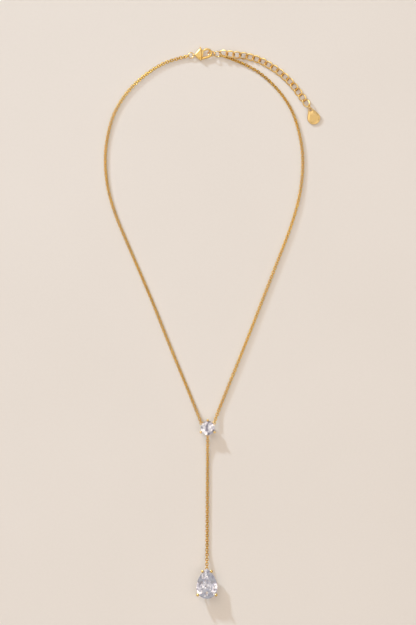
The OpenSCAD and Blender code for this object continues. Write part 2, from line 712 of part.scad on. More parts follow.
module clasp_body() {
    color("gold")
        in_clasp() {
            difference() {
                clasp_shell();
                clasp_slot();
            }
            translate(concat(hook_r * pin_share, -body_t / 2 - rivet_proud))
                cylinder(h = body_t + 2 * rivet_proud, d = pin_d, $fn = 32);
        }
}

module clasp_lever() {
    color("gold")
        in_clasp()
            translate([0, 0, -lever_t / 2])
                difference() {
                    union() {
                        translate(hook_r * pin_share)
                            cylinder(h = lever_t, r = boss_r, $fn = 32);
                        linear_extrude(height = lever_t)
                            polygon(hook_r * lever_shares);
                    }
                    translate(concat(hook_r * pin_share, -1))
                        cylinder(h = lever_t + 2, d = pin_d + 2 * pin_gap, $fn = 32);
                }
}

module clasp_ring() {
    color("gold")
        jump_ring(clasp_ring_at, clasp_ring_r, clasp_turn, 0);
}

module catch_ring() {
    color("gold")
        jump_ring(catch_ring_at, catch_ring_r, catch_ring_dir, catch_ring_tip);
}

module end_ring() {
    color("gold")
        jump_ring(end_ring_at, end_ring_r, end_ring_dir, end_ring_tip);
}

module tag_ring() {
    color("gold")
        jump_ring(tag_ring_at, tag_ring_r, tag_ring_dir, tag_ring_tip);
}

// Outline of the tag: a large and a small circle joined by lines that touch both, drawn in by an inset
function tag_outline(inset) =
    let (lean = asin((tag_r - tag_tip_r) / tag_d))
    concat(
        [for (i = [0:24]) (tag_r - inset) * [cos(180 - lean + i * (180 + 2 * lean) / 24),
            sin(180 - lean + i * (180 + 2 * lean) / 24)]],
        [for (i = [0:10]) [0, tag_d] + (tag_tip_r - inset) * [cos(lean + i * (180 - 2 * lean) / 10),
            sin(lean + i * (180 - 2 * lean) / 10)]]
    );

module tag() {
    color("gold")
        translate([tag_hole_at.x, tag_hole_at.y, 0] + (tag_hole_y + tag_r) * cos(tag_pitch) * tag_way)
            rotate([0, 0, tag_turn])
                rotate([tag_pitch, 0, 0])
                    translate([0, tag_r, 0])
                        difference() {
                            linear_extrude(height = tag_t)
                                polygon(tag_outline(0));
                            translate([0, 0, tag_t - tag_sink])
                                linear_extrude(height = 1)
                                    polygon(tag_outline(tag_rim));
                            translate([0, tag_hole_y, -1])
                                cylinder(h = tag_t + 2, d = tag_hole_d, $fn = 32);
                        }
}

neck_chain_left();
neck_chain_right();
drop_chain();
extender_chain();
centre_setting();
centre_stone();
pear_setting();
pear_stone();
clasp_body();
clasp_lever();
clasp_ring();
catch_ring();
end_ring();
tag_ring();
tag();
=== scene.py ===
"""Y necklace lying flat on a pale floor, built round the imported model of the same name.

Gold cable chains run from a round stone up both sides to a lobster clasp, a straight drop chain carries a
pear stone, and an extender chain ends in a teardrop tag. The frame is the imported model's: metres, floor at
z = 0, +Y towards the clasp, origin under the round stone. Sizes in the classes are millimetres, as in the
part's source, and become metres where a piece's mesh is made.
"""

from __future__ import annotations

import logging
import math
from collections.abc import Callable
from dataclasses import dataclass, field
from enum import Enum
from typing import Any

import bmesh
import bpy
import numpy as np
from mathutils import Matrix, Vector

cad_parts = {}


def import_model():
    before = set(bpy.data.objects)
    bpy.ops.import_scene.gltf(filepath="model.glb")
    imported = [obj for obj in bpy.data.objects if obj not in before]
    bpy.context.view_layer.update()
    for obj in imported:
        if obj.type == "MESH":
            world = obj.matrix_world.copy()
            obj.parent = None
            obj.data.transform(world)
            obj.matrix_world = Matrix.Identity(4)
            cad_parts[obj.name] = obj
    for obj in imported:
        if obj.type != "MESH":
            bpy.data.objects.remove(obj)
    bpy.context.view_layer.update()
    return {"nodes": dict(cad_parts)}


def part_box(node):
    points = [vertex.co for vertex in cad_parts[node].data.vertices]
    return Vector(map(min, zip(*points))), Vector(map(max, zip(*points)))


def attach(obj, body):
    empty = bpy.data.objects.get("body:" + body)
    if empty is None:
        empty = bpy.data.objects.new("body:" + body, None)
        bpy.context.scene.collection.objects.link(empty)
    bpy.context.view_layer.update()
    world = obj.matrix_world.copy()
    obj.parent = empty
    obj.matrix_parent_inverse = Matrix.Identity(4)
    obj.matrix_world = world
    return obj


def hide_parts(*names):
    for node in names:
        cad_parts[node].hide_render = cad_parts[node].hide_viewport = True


Points = np.ndarray

MM = 0.001
TAU = 2 * math.pi
UP = np.array([0.0, 0.0, 1.0])
# Name of the value on a chain's points that says how deep each lies in the band of painted shade where links
# meet
JOINT_SHADE = "joint_shade"
# How often a distance to an outline is halved until it is found
HALVINGS = 26
log = logging.getLogger("necklace")


# Shapes: every surface is a whole array of points and an array of faces, in millimetres


@dataclass
class Skin:
    """One or more closed surfaces: points, four-sided faces and three-sided faces."""

    points: Points
    quads: Points = field(default_factory=lambda: np.zeros((0, 4), int))
    tris: Points = field(default_factory=lambda: np.zeros((0, 3), int))

    def over(self, points: Points) -> Skin:
        """The same faces over other points."""
        return Skin(points, self.quads, self.tris)

    def moved(self, by: Points) -> Skin:
        """The same surface shifted by a vector."""
        return self.over(self.points + np.asarray(by, float))

    def mirrored(self) -> Skin:
        """The same surface with left and right changed about x = 0."""
        return Skin(self.points * [-1, 1, 1], self.quads[:, ::-1], self.tris[:, ::-1])


def joined(skins: list[Skin]) -> Skin:
    """Puts several surfaces into one.

    Args:
        skins: the surfaces, which may be separate or run into each other.

    Returns:
        One surface with all their points and faces.
    """
    firsts = np.cumsum([0] + [len(s.points) for s in skins[:-1]])
    return Skin(
        np.concatenate([s.points for s in skins]),
        np.concatenate([s.quads + first for s, first in zip(skins, firsts)]),
        np.concatenate([s.tris + first for s, first in zip(skins, firsts)]),
    )


def unit(v: Points) -> Points:
    """Each vector divided by its own length."""
    return v / np.linalg.norm(v, axis=-1, keepdims=True)


def direction(angle: float | Points) -> Points:
    """The vector of length one in plan at an angle in degrees."""
    a = np.radians(angle)
    return np.stack([np.cos(a), np.sin(a), np.zeros_like(a)], axis=-1)


def circle(middle: tuple[float, float], radius: float, count: int = 36) -> Points:
    """Points in plan round a circle."""
    return np.array(middle) + radius * direction(np.arange(count) * 360 / count)[:, :2]


def grid_skin(grid: Points, loop_rows: bool = True) -> Skin:
    """A closed surface from rings of points.

    Args:
        grid: (rows, columns, 3) points, a ring in each row.
        loop_rows: whether the last ring joins the first, or else a fan of triangles closes each of the two.

    Returns:
        The closed surface.
    """
    rows, columns = grid.shape[:2]
    points = grid.reshape(-1, 3)
    k = np.arange(columns)
    m = (k + 1) % columns
    here = np.arange(rows if loop_rows else rows - 1)[:, None] * columns
    there = (here + columns) % len(points)
    quads = np.stack([here + k, there + k, there + m, here + m], -1).reshape(-1, 4)
    if loop_rows:
        return Skin(points, quads)
    start, end = len(points), len(points) + 1
    last = (rows - 1) * columns
    fans = np.concatenate([
        np.stack([np.full(columns, start), k, m], -1),
        np.stack([np.full(columns, end), last + m, last + k], -1),
    ])
    points = np.concatenate([points, [grid[0].mean(0), grid[-1].mean(0)]])
    return Skin(points, quads, fans)


def rounded_section(width: float, height: float, count: int, power: float = 4.0) -> Points:
    """Points round a rectangle with soft corners.

    They are half the width x cosine and half the height x sine, where cosine and sine are each raised to
    2 / power and keep their signs.

    Args:
        width: size along the first axis.
        height: size along the second axis.
        count: how many points there are.
        power: 2 for an ellipse, and more for squarer corners.

    Returns:
        (count, 2) points.
    """
    t = np.arange(count) * TAU / count
    ring = np.stack([np.cos(t), np.sin(t)], -1)
    return np.array([width, height]) / 2 * np.sign(ring) * np.abs(ring) ** (2 / power)


def round_section(wire: float, count: int) -> Points:
    """Points round a circle of the wire's diameter."""
    return rounded_section(wire, wire, count, 2.0)


def closed_wire(line: Points, section: Points) -> Skin:
    """A wire along a closed line.

    Each ring stands square to the line: its first axis points away from the line's middle, with the part
    along the line taken out, and its second axis is the cross product of the line's direction and the first.

    Args:
        line: (n, 3) points of the closed line about its own middle.
        section: (k, 2) points of the wire's section.

    Returns:
        The closed surface.
    """
    way = unit(np.roll(line, -1, 0) - np.roll(line, 1, 0))
    away = line - line.mean(0)
    out = unit(away - way * np.sum(away * way, -1, keepdims=True))
    side = np.cross(way, out)
    grid = line[:, None] + section[None, :, :1] * out[:, None] + section[None, :, 1:] * side[:, None]
    return grid_skin(grid)


def open_rod(path: Points, radius: Points, side: Points, sides: int = 20) -> Skin:
    """A round rod along an open path, whose radius changes along it and whose ends are closed by fans.

    Args:
        path: (n, 3) middle points.
        radius: (n,) radius at each point; near zero at a rounded end.
        side: a vector that is nowhere along the path; rings are squared to the path from it.
        sides: points round each ring.

    Returns:
        The closed surface: path + radius x (cos t x first axis + sin t x second axis).
    """
    way = unit(np.gradient(path, axis=0))
    first = unit(side - way * (way @ side)[:, None])
    second = np.cross(way, first)
    t = np.arange(sides) * TAU / sides
    ring = np.cos(t)[None, :, None] * first[:, None] + np.sin(t)[None, :, None] * second[:, None]
    return grid_skin(path[:, None] + radius[:, None, None] * ring, loop_rows=False)


def turned(profile: Points, sides: int) -> Skin:
    """A closed profile turned round the upright axis: radius x cosine, radius x sine, height.

    Args:
        profile: (n, 2) points of radius and height.
        sides: how many profiles stand round the axis.

    Returns:
        The closed surface.
    """
    t = np.arange(sides) * TAU / sides
    r, z = profile[None, :, 0], profile[None, :, 1]
    grid = np.stack([r * np.cos(t)[:, None], r * np.sin(t)[:, None], z + 0 * t[:, None]], -1)
    return grid_skin(grid)


def wire_ring(radius: float, wire: float, rings: int = 48, sides: int = 14) -> Skin:
    """A round ring of wire lying flat about the origin."""
    return turned(round_section(wire, sides) + [radius, 0], rings)


def spun(points: Points, angle: float) -> Points:
    """Points turned about the upright axis by an angle in degrees."""
    c, s = math.cos(math.radians(angle)), math.sin(math.radians(angle))
    return points @ np.array([[c, s, 0], [-s, c, 0], [0, 0, 1]])


def smooth_route(points: Points, steps: int = 8) -> Points:
    """A smooth curve through chosen points.

    Each span is the cubic that starts and ends on its two points, with the slope there equal to half the
    chord between the points on either side; past each end one more point is mirrored.

    Args:
        points: (n, 3) chosen points.
        steps: how many pieces each span is cut into.

    Returns:
        The points of the curve.
    """
    p = np.concatenate([[2 * points[0] - points[1]], points, [2 * points[-1] - points[-2]]])
    a, b, c, d = (p[k : len(p) - 3 + k, None] for k in range(4))
    t = (np.arange(steps) / steps)[None, :, None]
    cubic = 2 * b + (c - a) * t + (2 * a - 5 * b + 4 * c - d) * t**2 + (3 * b - a - 3 * c + d) * t**3
    return np.concatenate([cubic.reshape(-1, 3) / 2, points[-1:]])


@dataclass
class Path:
    """A curve that can be read by length along it."""

    points: Points

    @property
    def marks(self) -> Points:
        """Length from the start to each point."""
        return np.concatenate([[0.0], np.cumsum(np.linalg.norm(np.diff(self.points, axis=0), axis=1))])

    @property
    def total(self) -> float:
        """Whole length."""
        return float(self.marks[-1])

    def at(self, lengths: Points) -> Points:
        """The places at some lengths along the curve, on the straight between its points."""
        lengths = np.clip(lengths, 0, self.total)
        return np.stack([np.interp(lengths, self.marks, self.points[:, k]) for k in range(3)], -1)


def eased(share: Points) -> Points:
    """Smooth step from 0 to 1: three squares less two cubes of the share."""
    t = np.clip(share, 0, 1)
    return t * t * (3 - 2 * t)


def edge_reach(
    depth: Callable[[Points], Points], middle: Points, ways: Points, far: float, inset: float = 0.0
) -> Points:
    """How far an outline lies from a place inside it, found by halving the run that holds it.

    Args:
        depth: gives the depth of points inside the outline.
        middle: the place.
        ways: (n, 3) directions in plan.
        far: a distance that is past the outline every way.
        inset: how far the outline is drawn in.

    Returns:
        The distance each way.
    """
    near, far = np.zeros(len(ways)), np.full(len(ways), far)
    for _ in range(HALVINGS):
        mid = (near + far) / 2
        inside = depth(middle + mid[:, None] * ways) > inset
        near, far = np.where(inside, mid, near), np.where(inside, far, mid)
    return near


# Shader trees, written as expressions


class Signal:
    """One output socket of a shader tree; arithmetic on it adds Math nodes."""

    def __init__(self, bench: Bench, socket: bpy.types.NodeSocket) -> None:
        """Keeps the bench that makes nodes and the socket that this signal stands for."""
        self.bench = bench
        self.socket = socket

    def math(self, operation: str, *values: Signal | float) -> Signal:
        """A Math node of this operation on the values."""
        return self.bench.node("ShaderNodeMath", {"operation": operation}, dict(enumerate(values)))

    def __add__(self, other: Signal | float) -> Signal:
        """Sum."""
        return self.math("ADD", self, other)

    def __sub__(self, other: Signal | float) -> Signal:
        """Difference."""
        return self.math("SUBTRACT", self, other)

    def __rsub__(self, other: float) -> Signal:
        """A number less this signal."""
        return self.math("SUBTRACT", other, self)

    def __mul__(self, other: Signal | float) -> Signal:
        """Product."""
        return self.math("MULTIPLY", self, other)

    __radd__ = __add__
    __rmul__ = __mul__


class Bench:
    """Adds nodes to one shader tree."""

    def __init__(self, tree: bpy.types.NodeTree) -> None:
        """Clears the tree, so that it holds only what this bench adds."""
        self.tree = tree
        self.tree.nodes.clear()

    def node(
        self,
        kind: str,
        settings: dict[str, Any] | None = None,
        inputs: dict[str | int, Any] | None = None,
        output: str | int = 0,
    ) -> Signal:
        """Adds a node.

        Args:
            kind: the node's type.
            settings: its settings, set first.
            inputs: values or signals by socket name or number.
            output: the socket that is returned.

        Returns:
            The chosen output as a signal.
        """
        made = self.tree.nodes.new(kind)
        for name, value in (settings or {}).items():
            setattr(made, name, value)
        for name, value in (inputs or {}).items():
            if isinstance(value, Signal):
                self.tree.links.new(value.socket, made.inputs[name])
            else:
                made.inputs[name].default_value = value
        return Signal(self, made.outputs[output])

    def places(self, scale: tuple[float, float, float] = (1.0, 1.0, 1.0), turn: float = 0.0) -> Signal:
        """Object coordinates, turned about the upright axis and scaled.

        Args:
            scale: factor along each axis.
            turn: angle in degrees.

        Returns:
            The vector.
        """
        place = self.node("ShaderNodeTexCoord", output="Object")
        inputs = {"Vector": place, "Rotation": (0, 0, math.radians(turn)), "Scale": scale}
        return self.node("ShaderNodeMapping", {"vector_type": "POINT"}, inputs)

    def noise(self, at: Signal, scale: float, detail: float = 3.0, roughness: float = 0.5) -> Signal:
        """Noise from 0 to 1, with its scale in waves per metre."""
        inputs = {"Vector": at, "Scale": scale, "Detail": detail, "Roughness": roughness}
        return self.node("ShaderNodeTexNoise", {}, inputs)

    def ranged(
        self, value: Signal, low: float, high: float, to_low: float = 0.0, to_high: float = 1.0
    ) -> Signal:
        """A value's range from low to high carried to another range, and held at its ends."""
        inputs = {0: value, 1: low, 2: high, 3: to_low, 4: to_high}
        return self.node("ShaderNodeMapRange", {"clamp": True}, inputs)

    def blend(self, share: Signal, first: Signal | tuple, second: Signal | tuple) -> Signal:
        """A colour between two colours, by a share from 0 to 1."""
        return self.node("ShaderNodeMix", {"data_type": "RGBA"}, {0: share, 6: first, 7: second}, output=2)

    def bump(self, height: Signal, strength: float, distance: float) -> Signal:
        """A normal tilted by a height, whose full range stands for a distance in metres."""
        inputs = {"Height": height, "Strength": strength, "Distance": distance}
        return self.node("ShaderNodeBump", {}, inputs)

    def surface(self, shader: Signal, kind: str = "ShaderNodeOutputMaterial") -> None:
        """Adds the tree's output node and joins a shader to it."""
        made = self.tree.nodes.new(kind)
        self.tree.links.new(shader.socket, made.inputs["Surface"])


@dataclass(frozen=True)
class Finish:
    """A material with one principled shader."""

    name: str

    def inputs(self, bench: Bench) -> dict[str, Any]:
        """Makes what feeds the shader.

        Args:
            bench: the bench for the material's tree.

        Returns:
            Values and signals by the names of the shader's sockets.
        """
        raise NotImplementedError

    def build(self) -> bpy.types.Material:
        """Makes the material.

        Returns:
            The material.
        """
        material = bpy.data.materials.new(self.name)
        material.use_nodes = True
        bench = Bench(material.node_tree)
        bench.surface(bench.node("ShaderNodeBsdfPrincipled", {}, self.inputs(bench)))
        return material


@dataclass(frozen=True)
class PolishedGold(Finish):
    """Bright gold plate with faint wipe marks and small waves left by polishing, with painted shade where
    chain links meet.
    """

    name: str = "polished_gold_plate"
    light: tuple = (1.0, 0.75, 0.32, 1.0)
    deep: tuple = (0.94, 0.63, 0.19, 1.0)
    # Colour of the painted shade where chain links meet
    joint_shade: tuple = (0.5, 0.24, 0.05, 1.0)
    sheen_low: float = 0.2
    sheen_high: float = 0.32
    cloud_scale: float = 420.0
    mark_scale: float = 2600.0
    wave_height: float = 0.000004
    lacquer: float = 0.35
    lacquer_sheen: float = 0.12

    def inputs(self, bench: Bench) -> dict[str, Any]:
        """Two colours in clouds, darkened by painted shade where chain links meet, and a roughness of clouds
        and marks.

        Args:
            bench: the bench for the material's tree.

        Returns:
            Values and signals by the names of the shader's sockets.
        """
        place = bench.places()
        cloud = bench.noise(place, self.cloud_scale, 2.0)
        marks = bench.noise(bench.places((1.0, 3.5, 1.0), 30.0), self.mark_scale, 4.0, 0.6)
        plain = bench.blend(bench.ranged(cloud, 0.32, 0.68), self.light, self.deep)
        # Painted shade: the colour goes towards the shade colour by how deep each point lies where the next
        # link comes through
        joint_shade_share = bench.node("ShaderNodeAttribute", {"attribute_name": JOINT_SHADE}, output="Fac")
        colour = bench.blend(joint_shade_share, plain, self.joint_shade)
        rough = bench.ranged(marks * 0.7 + cloud * 0.3, 0.35, 0.65, self.sheen_low, self.sheen_high)
        waves = bench.noise(place, self.mark_scale * 0.5, 2.0)
        return {
            "Base Color": colour,
            "Metallic": 1.0,
            "Roughness": rough,
            "Normal": bench.bump(waves, 0.35, self.wave_height),
            "Coat Weight": self.lacquer,
            "Coat Roughness": self.lacquer_sheen,
        }


@dataclass(frozen=True)
class SatinGold(Finish):
    """Brushed gold plate: fine straight lines along one way, wider and softer highlights."""

    name: str = "satin_gold_plate"
    turn: float = 22.0
    light: tuple = (0.85, 0.62, 0.28, 1.0)
    deep: tuple = (0.8, 0.54, 0.2, 1.0)
    sheen_low: float = 0.24
    sheen_high: float = 0.4
    line_scale: float = 5200.0
    line_height: float = 0.000006
    cloud_scale: float = 380.0

    def inputs(self, bench: Bench) -> dict[str, Any]:
        """Two colours and a roughness that follow the brushed lines.

        Args:
            bench: the bench for the material's tree.

        Returns:
            Values and signals by the names of the shader's sockets.
        """
        along = bench.places((1.0, 0.06, 0.4), -self.turn)
        lines = bench.noise(along, self.line_scale, 4.0, 0.65)
        cloud = bench.noise(bench.places(), self.cloud_scale, 2.0)
        share = bench.ranged(lines * 0.6 + cloud * 0.4, 0.34, 0.66)
        return {
            "Base Color": bench.blend(share, self.light, self.deep),
            "Metallic": 1.0,
            "Roughness": bench.ranged(lines, 0.3, 0.7, self.sheen_low, self.sheen_high),
            "Normal": bench.bump(lines, 0.4, self.line_height),
        }


@dataclass(frozen=True)
class CutStone(Finish):
    """Clear cut stone: bends light strongly, with small facets that come out white or cool, some darkened as
    painted reflections, and a faint painted glow.
    """

    name: str = "clear_cut_stone"
    tint: tuple = (1.0, 1.0, 1.0, 1.0)
    cool: tuple = (0.84, 0.82, 0.95, 1.0)
    # Colour of the facets darkened as painted reflections, and which cells get it
    dark_reflection: tuple = (0.42, 0.39, 0.47, 1.0)
    dark_reflection_from: float = 0.68
    dark_reflection_edge: float = 0.08
    bend: float = 2.2
    cloud_scale: float = 700.0
    facet_scale: float = 1250.0
    # Painted glow: emission in place of light that the stone would send back out
    glow: tuple = (0.93, 0.92, 1.0, 1.0)
    glow_strength: float = 0.07

    def inputs(self, bench: Bench) -> dict[str, Any]:
        """Clear and cool in clouds, darkened in some facets as painted reflections, hardly rough, and a
        faint painted glow in place of light sent back out of the stone.

        Args:
            bench: the bench for the material's tree.

        Returns:
            Values and signals by the names of the shader's sockets.
        """
        place = bench.places()
        cloud = bench.noise(place, self.cloud_scale, 1.0)
        facet = bench.node("ShaderNodeTexVoronoi", {}, {"Vector": place, "Scale": self.facet_scale}, "Color")
        lot = bench.node("ShaderNodeSeparateColor", {}, {0: facet})
        clear = bench.blend(bench.ranged(cloud, 0.5, 0.62), self.tint, self.cool)
        # Painted reflections: the Voronoi cells past a threshold take the darker colour
        dark_reflection_share = bench.ranged(lot, self.dark_reflection_from, self.dark_reflection_from + self.dark_reflection_edge)
        return {
            "Base Color": bench.blend(dark_reflection_share, clear, self.dark_reflection),
            "Metallic": 0.0,
            "Roughness": bench.ranged(cloud, 0.3, 0.7, 0.0, 0.02),
            "IOR": self.bend,
            "Transmission Weight": 1.0,
            # Painted glow in place of light sent back out of the stone
            "Emission Color": self.glow,
            "Emission Strength": self.glow_strength,
        }


@dataclass(frozen=True)
class PaleFloor(Finish):
    """Matt warm floor with a hardly visible grain, lit a little from inside as a thin pale plate is."""

    name: str = "pale_matt_floor"
    light: tuple = (0.655, 0.61, 0.56, 1.0)
    deep: tuple = (0.635, 0.59, 0.538, 1.0)
    glow: tuple = (1.0, 0.88, 0.76, 1.0)
    glow_strength: float = 0.15
    grain_scale: float = 900.0
    grain_height: float = 0.00008
    patch_scale: float = 14.0
    matt: float = 0.9

    def inputs(self, bench: Bench) -> dict[str, Any]:
        """Two colours in grain and patches, and a faint glow.

        Args:
            bench: the bench for the material's tree.

        Returns:
            Values and signals by the names of the shader's sockets.
        """
        place = bench.places()
        grain = bench.noise(place, self.grain_scale, 5.0, 0.6)
        patch = bench.noise(place, self.patch_scale, 2.0)
        share = bench.ranged(grain * 0.45 + patch * 0.55, 0.35, 0.65)
        return {
            "Base Color": bench.blend(share, self.light, self.deep),
            "Roughness": self.matt,
            "Normal": bench.bump(grain, 0.25, self.grain_height),
            "Emission Color": self.glow,
            "Emission Strength": self.glow_strength,
        }


# Pieces


class Slot(Enum):
    """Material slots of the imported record."""

    GOLD = "gold"
    STONE = "stone"


class Body(Enum):
    """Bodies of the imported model."""

    NECKLACE = "necklace"
    LEVER = "lever"


def closed_mesh(name: str, skin: Skin, scale: float = 1.0) -> bpy.types.Mesh:
    """A mesh of a closed surface, with its faces outwards.

    Args:
        name: the mesh's name.
        skin: the surface.
        scale: what its points are multiplied by.

    Returns:
        The mesh.
    """
    mesh = bpy.data.meshes.new(name)
    mesh.from_pydata((skin.points * scale).tolist(), [], skin.quads.tolist() + skin.tris.tolist())
    work = bmesh.new()
    work.from_mesh(mesh)
    bmesh.ops.recalc_face_normals(work, faces=work.faces)
    work.to_mesh(mesh)
    work.free()
    return mesh


def add_piece(
    name: str,
    skin: Skin,
    finish: bpy.types.Material,
    stands_for: tuple[str, ...],
    body: Body = Body.NECKLACE,
    joint_shade: Points | None = None,
) -> bpy.types.Object:
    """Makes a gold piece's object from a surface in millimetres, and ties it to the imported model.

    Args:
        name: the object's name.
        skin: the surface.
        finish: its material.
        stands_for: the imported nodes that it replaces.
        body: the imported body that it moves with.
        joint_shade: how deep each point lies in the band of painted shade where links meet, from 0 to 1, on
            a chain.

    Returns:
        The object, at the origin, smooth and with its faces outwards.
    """
    mesh = closed_mesh(name, skin, MM)
    mesh.shade_smooth()
    mesh.materials.append(finish)
    if joint_shade is not None:
        # Each point's depth in the band of painted shade, read by the gold's colour
        mesh.attributes.new(JOINT_SHADE, "FLOAT", "POINT").data.foreach_set("value", joint_shade.astype(np.float32))
    piece = bpy.data.objects.new(name, mesh)
    bpy.context.scene.collection.objects.link(piece)
    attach(piece, body.value)
    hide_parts(*stands_for)
    log.info("%s: %d faces for %s", name, len(mesh.polygons), ", ".join(stands_for))
    return piece


def node_middle(node: str) -> Points:
    """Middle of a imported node's box, in millimetres."""
    low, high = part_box(node)
    return (np.array(low) + np.array(high)) / 2 / MM


@dataclass(frozen=True)
class Setting:
    """What the baskets under both stones share: sizes of base and girdle, ball prongs, chain loops."""

    girdle_z: float
    ball_d: float
    ball_share: float
    girdle_h: float = 0.14
    base_h: float = 0.6
    base_wall: float = 0.7
    prong_d: float = 0.7
    loop_wire: float = 0.42
    loop_hole: float = 0.78
    gap: float = 0.06
    knee_extra: float = 0.06
    knee_drop: float = 0.4
    foot_sunk: float = 0.6
    bend_from: float = 0.75
    bend_to: float = 0.6
    bend_steps: int = 10
    tip_share: float = 0.999
    prong_rings: int = 56
    crowding: float = 1.6
    loop_rings: int = 32
    loop_sides: int = 12

    @property
    def loop_r(self) -> float:
        """Radius of a chain loop's wire."""
        return (self.loop_hole + self.loop_wire) / 2

    @property
    def knee_out(self) -> float:
        """How far outside the girdle a prong bends upright."""
        return self.gap + self.prong_d / 2 + self.knee_extra

    @property
    def knee_z(self) -> float:
        """Height at which a prong bends upright."""
        return self.girdle_z - self.knee_drop

    @property
    def ball_out(self) -> float:
        """How far outside the girdle the middle of a prong's ball is."""
        return self.ball_d * self.ball_share

    @property
    def ball_z(self) -> float:
        """Height of the middle of a prong's ball, where the ball is a gap off the girdle's edge."""
        rise = math.sqrt((self.ball_d / 2 + self.gap) ** 2 - self.ball_out**2)
        return self.girdle_z + self.girdle_h / 2 + rise

    def loop(self, middle: Points) -> Skin:
        """A chain loop, lying flat about its middle."""
        return wire_ring(self.loop_r, self.loop_wire, self.loop_rings, self.loop_sides).moved(middle)

    def ball_prong(self, foot: Points, knee: Points, ball: Points) -> Skin:
        """A prong that rises from its foot past a knee to a ball.

        The radius at a length s is the larger of the wire's own radius, rounded at the foot, and the ball's
        square root of (ball radius squared less the squared distance to the ball's middle). Rings crowd
        towards the ball, as 1 less (1 - share) raised to the crowding.

        Args:
            foot: where it leaves the base.
            knee: where it bends upright.
            ball: middle of the ball.

        Returns:
            The closed surface.
        """
        r, ball_r = self.prong_d / 2, self.ball_d / 2
        lean = unit(knee - foot)
        low, high = foot + self.bend_from * (knee - foot), knee + self.bend_to * (ball - knee)
        corner = smooth_route(np.stack([foot, low, knee, high, ball]), self.bend_steps)
        tip = ball + unit(ball - knee) * ball_r * self.tip_share
        path = Path(np.concatenate([[foot - lean * r * self.foot_sunk], corner, [tip]]))
        s = path.total * (1 - (1 - np.linspace(0, 1, self.prong_rings)) ** self.crowding)
        to_ball = s - (path.total - ball_r)
        bead = np.sqrt(np.maximum(ball_r**2 - to_ball**2, 1e-6))
        start = np.sqrt(np.clip(1 - (1 - np.clip(s / r, 0, 1)) ** 2, 1e-4, 1))
        rod = np.where(to_ball < 0, r * start, 0)
        radius = np.where(np.abs(to_ball) < ball_r, np.maximum(bead, rod), rod)
        return open_rod(path.at(s), radius, unit(np.cross(lean, UP)))


@dataclass(frozen=True)
class RoundSetting(Setting):
    """Basket under the round stone: base ring, rail, three ball prongs and three chain loops."""

    girdle_d: float = 6.5
    girdle_z: float = 3.3
    base_d: float = 4.2
    rail_wire: float = 0.5
    rail_z: float = 1.9
    ball_d: float = 1.15
    ball_share: float = 0.3
    solder: float = 0.05
    rings: int = 64
    prong_dirs: tuple[float, ...] = (90, 210, 330)
    right_loop_dir: float = 38
    left_loop_dir: float = 142
    drop_loop_dir: float = 270

    @property
    def base_r(self) -> float:
        """Radius of the middle of the base ring's wall."""
        return (self.base_d - self.base_wall) / 2

    @property
    def knee(self) -> Points:
        """Where a prong bends upright, in the plane of the prong."""
        return np.array([self.girdle_d / 2 + self.knee_out, 0, self.knee_z])

    @property
    def ball(self) -> Points:
        """Middle of a prong's ball, in the plane of the prong."""
        return np.array([self.girdle_d / 2 + self.ball_out, 0, self.ball_z])

    @property
    def rail_r(self) -> float:
        """Radius of the rail, on the prongs' slope but inside the girdle."""
        share = (self.rail_z - self.base_h / 2) / (self.knee_z - self.base_h / 2)
        return min(self.base_r + share * (self.knee[0] - self.base_r), (self.girdle_d - self.rail_wire) / 2)

    def loop_at(self, angle: float) -> Points:
        """Middle of the chain loop that stands at an angle."""
        reach = self.rail_r + self.rail_wire / 2 + self.loop_r - self.solder
        return reach * direction(angle) + self.rail_z * UP

    def build(self, finish: bpy.types.Material) -> bpy.types.Object:
        """Makes the setting as one piece.

        Args:
            finish: its material.

        Returns:
            The piece.
        """
        base = rounded_section(self.base_wall, self.base_h, 20) + [self.base_r, self.base_h / 2]
        rail = wire_ring(self.rail_r, self.rail_wire, self.rings).moved(self.rail_z * UP)
        parts = [turned(base, self.rings), rail]
        foot = np.array([self.base_r, 0, self.base_h / 2])
        upright = self.ball_prong(foot, self.knee, self.ball)
        for angle in self.prong_dirs:
            parts.append(upright.over(spun(upright.points, angle)))
        for angle in (self.right_loop_dir, self.left_loop_dir, self.drop_loop_dir):
            parts.append(self.loop(self.loop_at(angle)))
        return add_piece("round_setting", joined(parts), finish, ("centre_setting",))


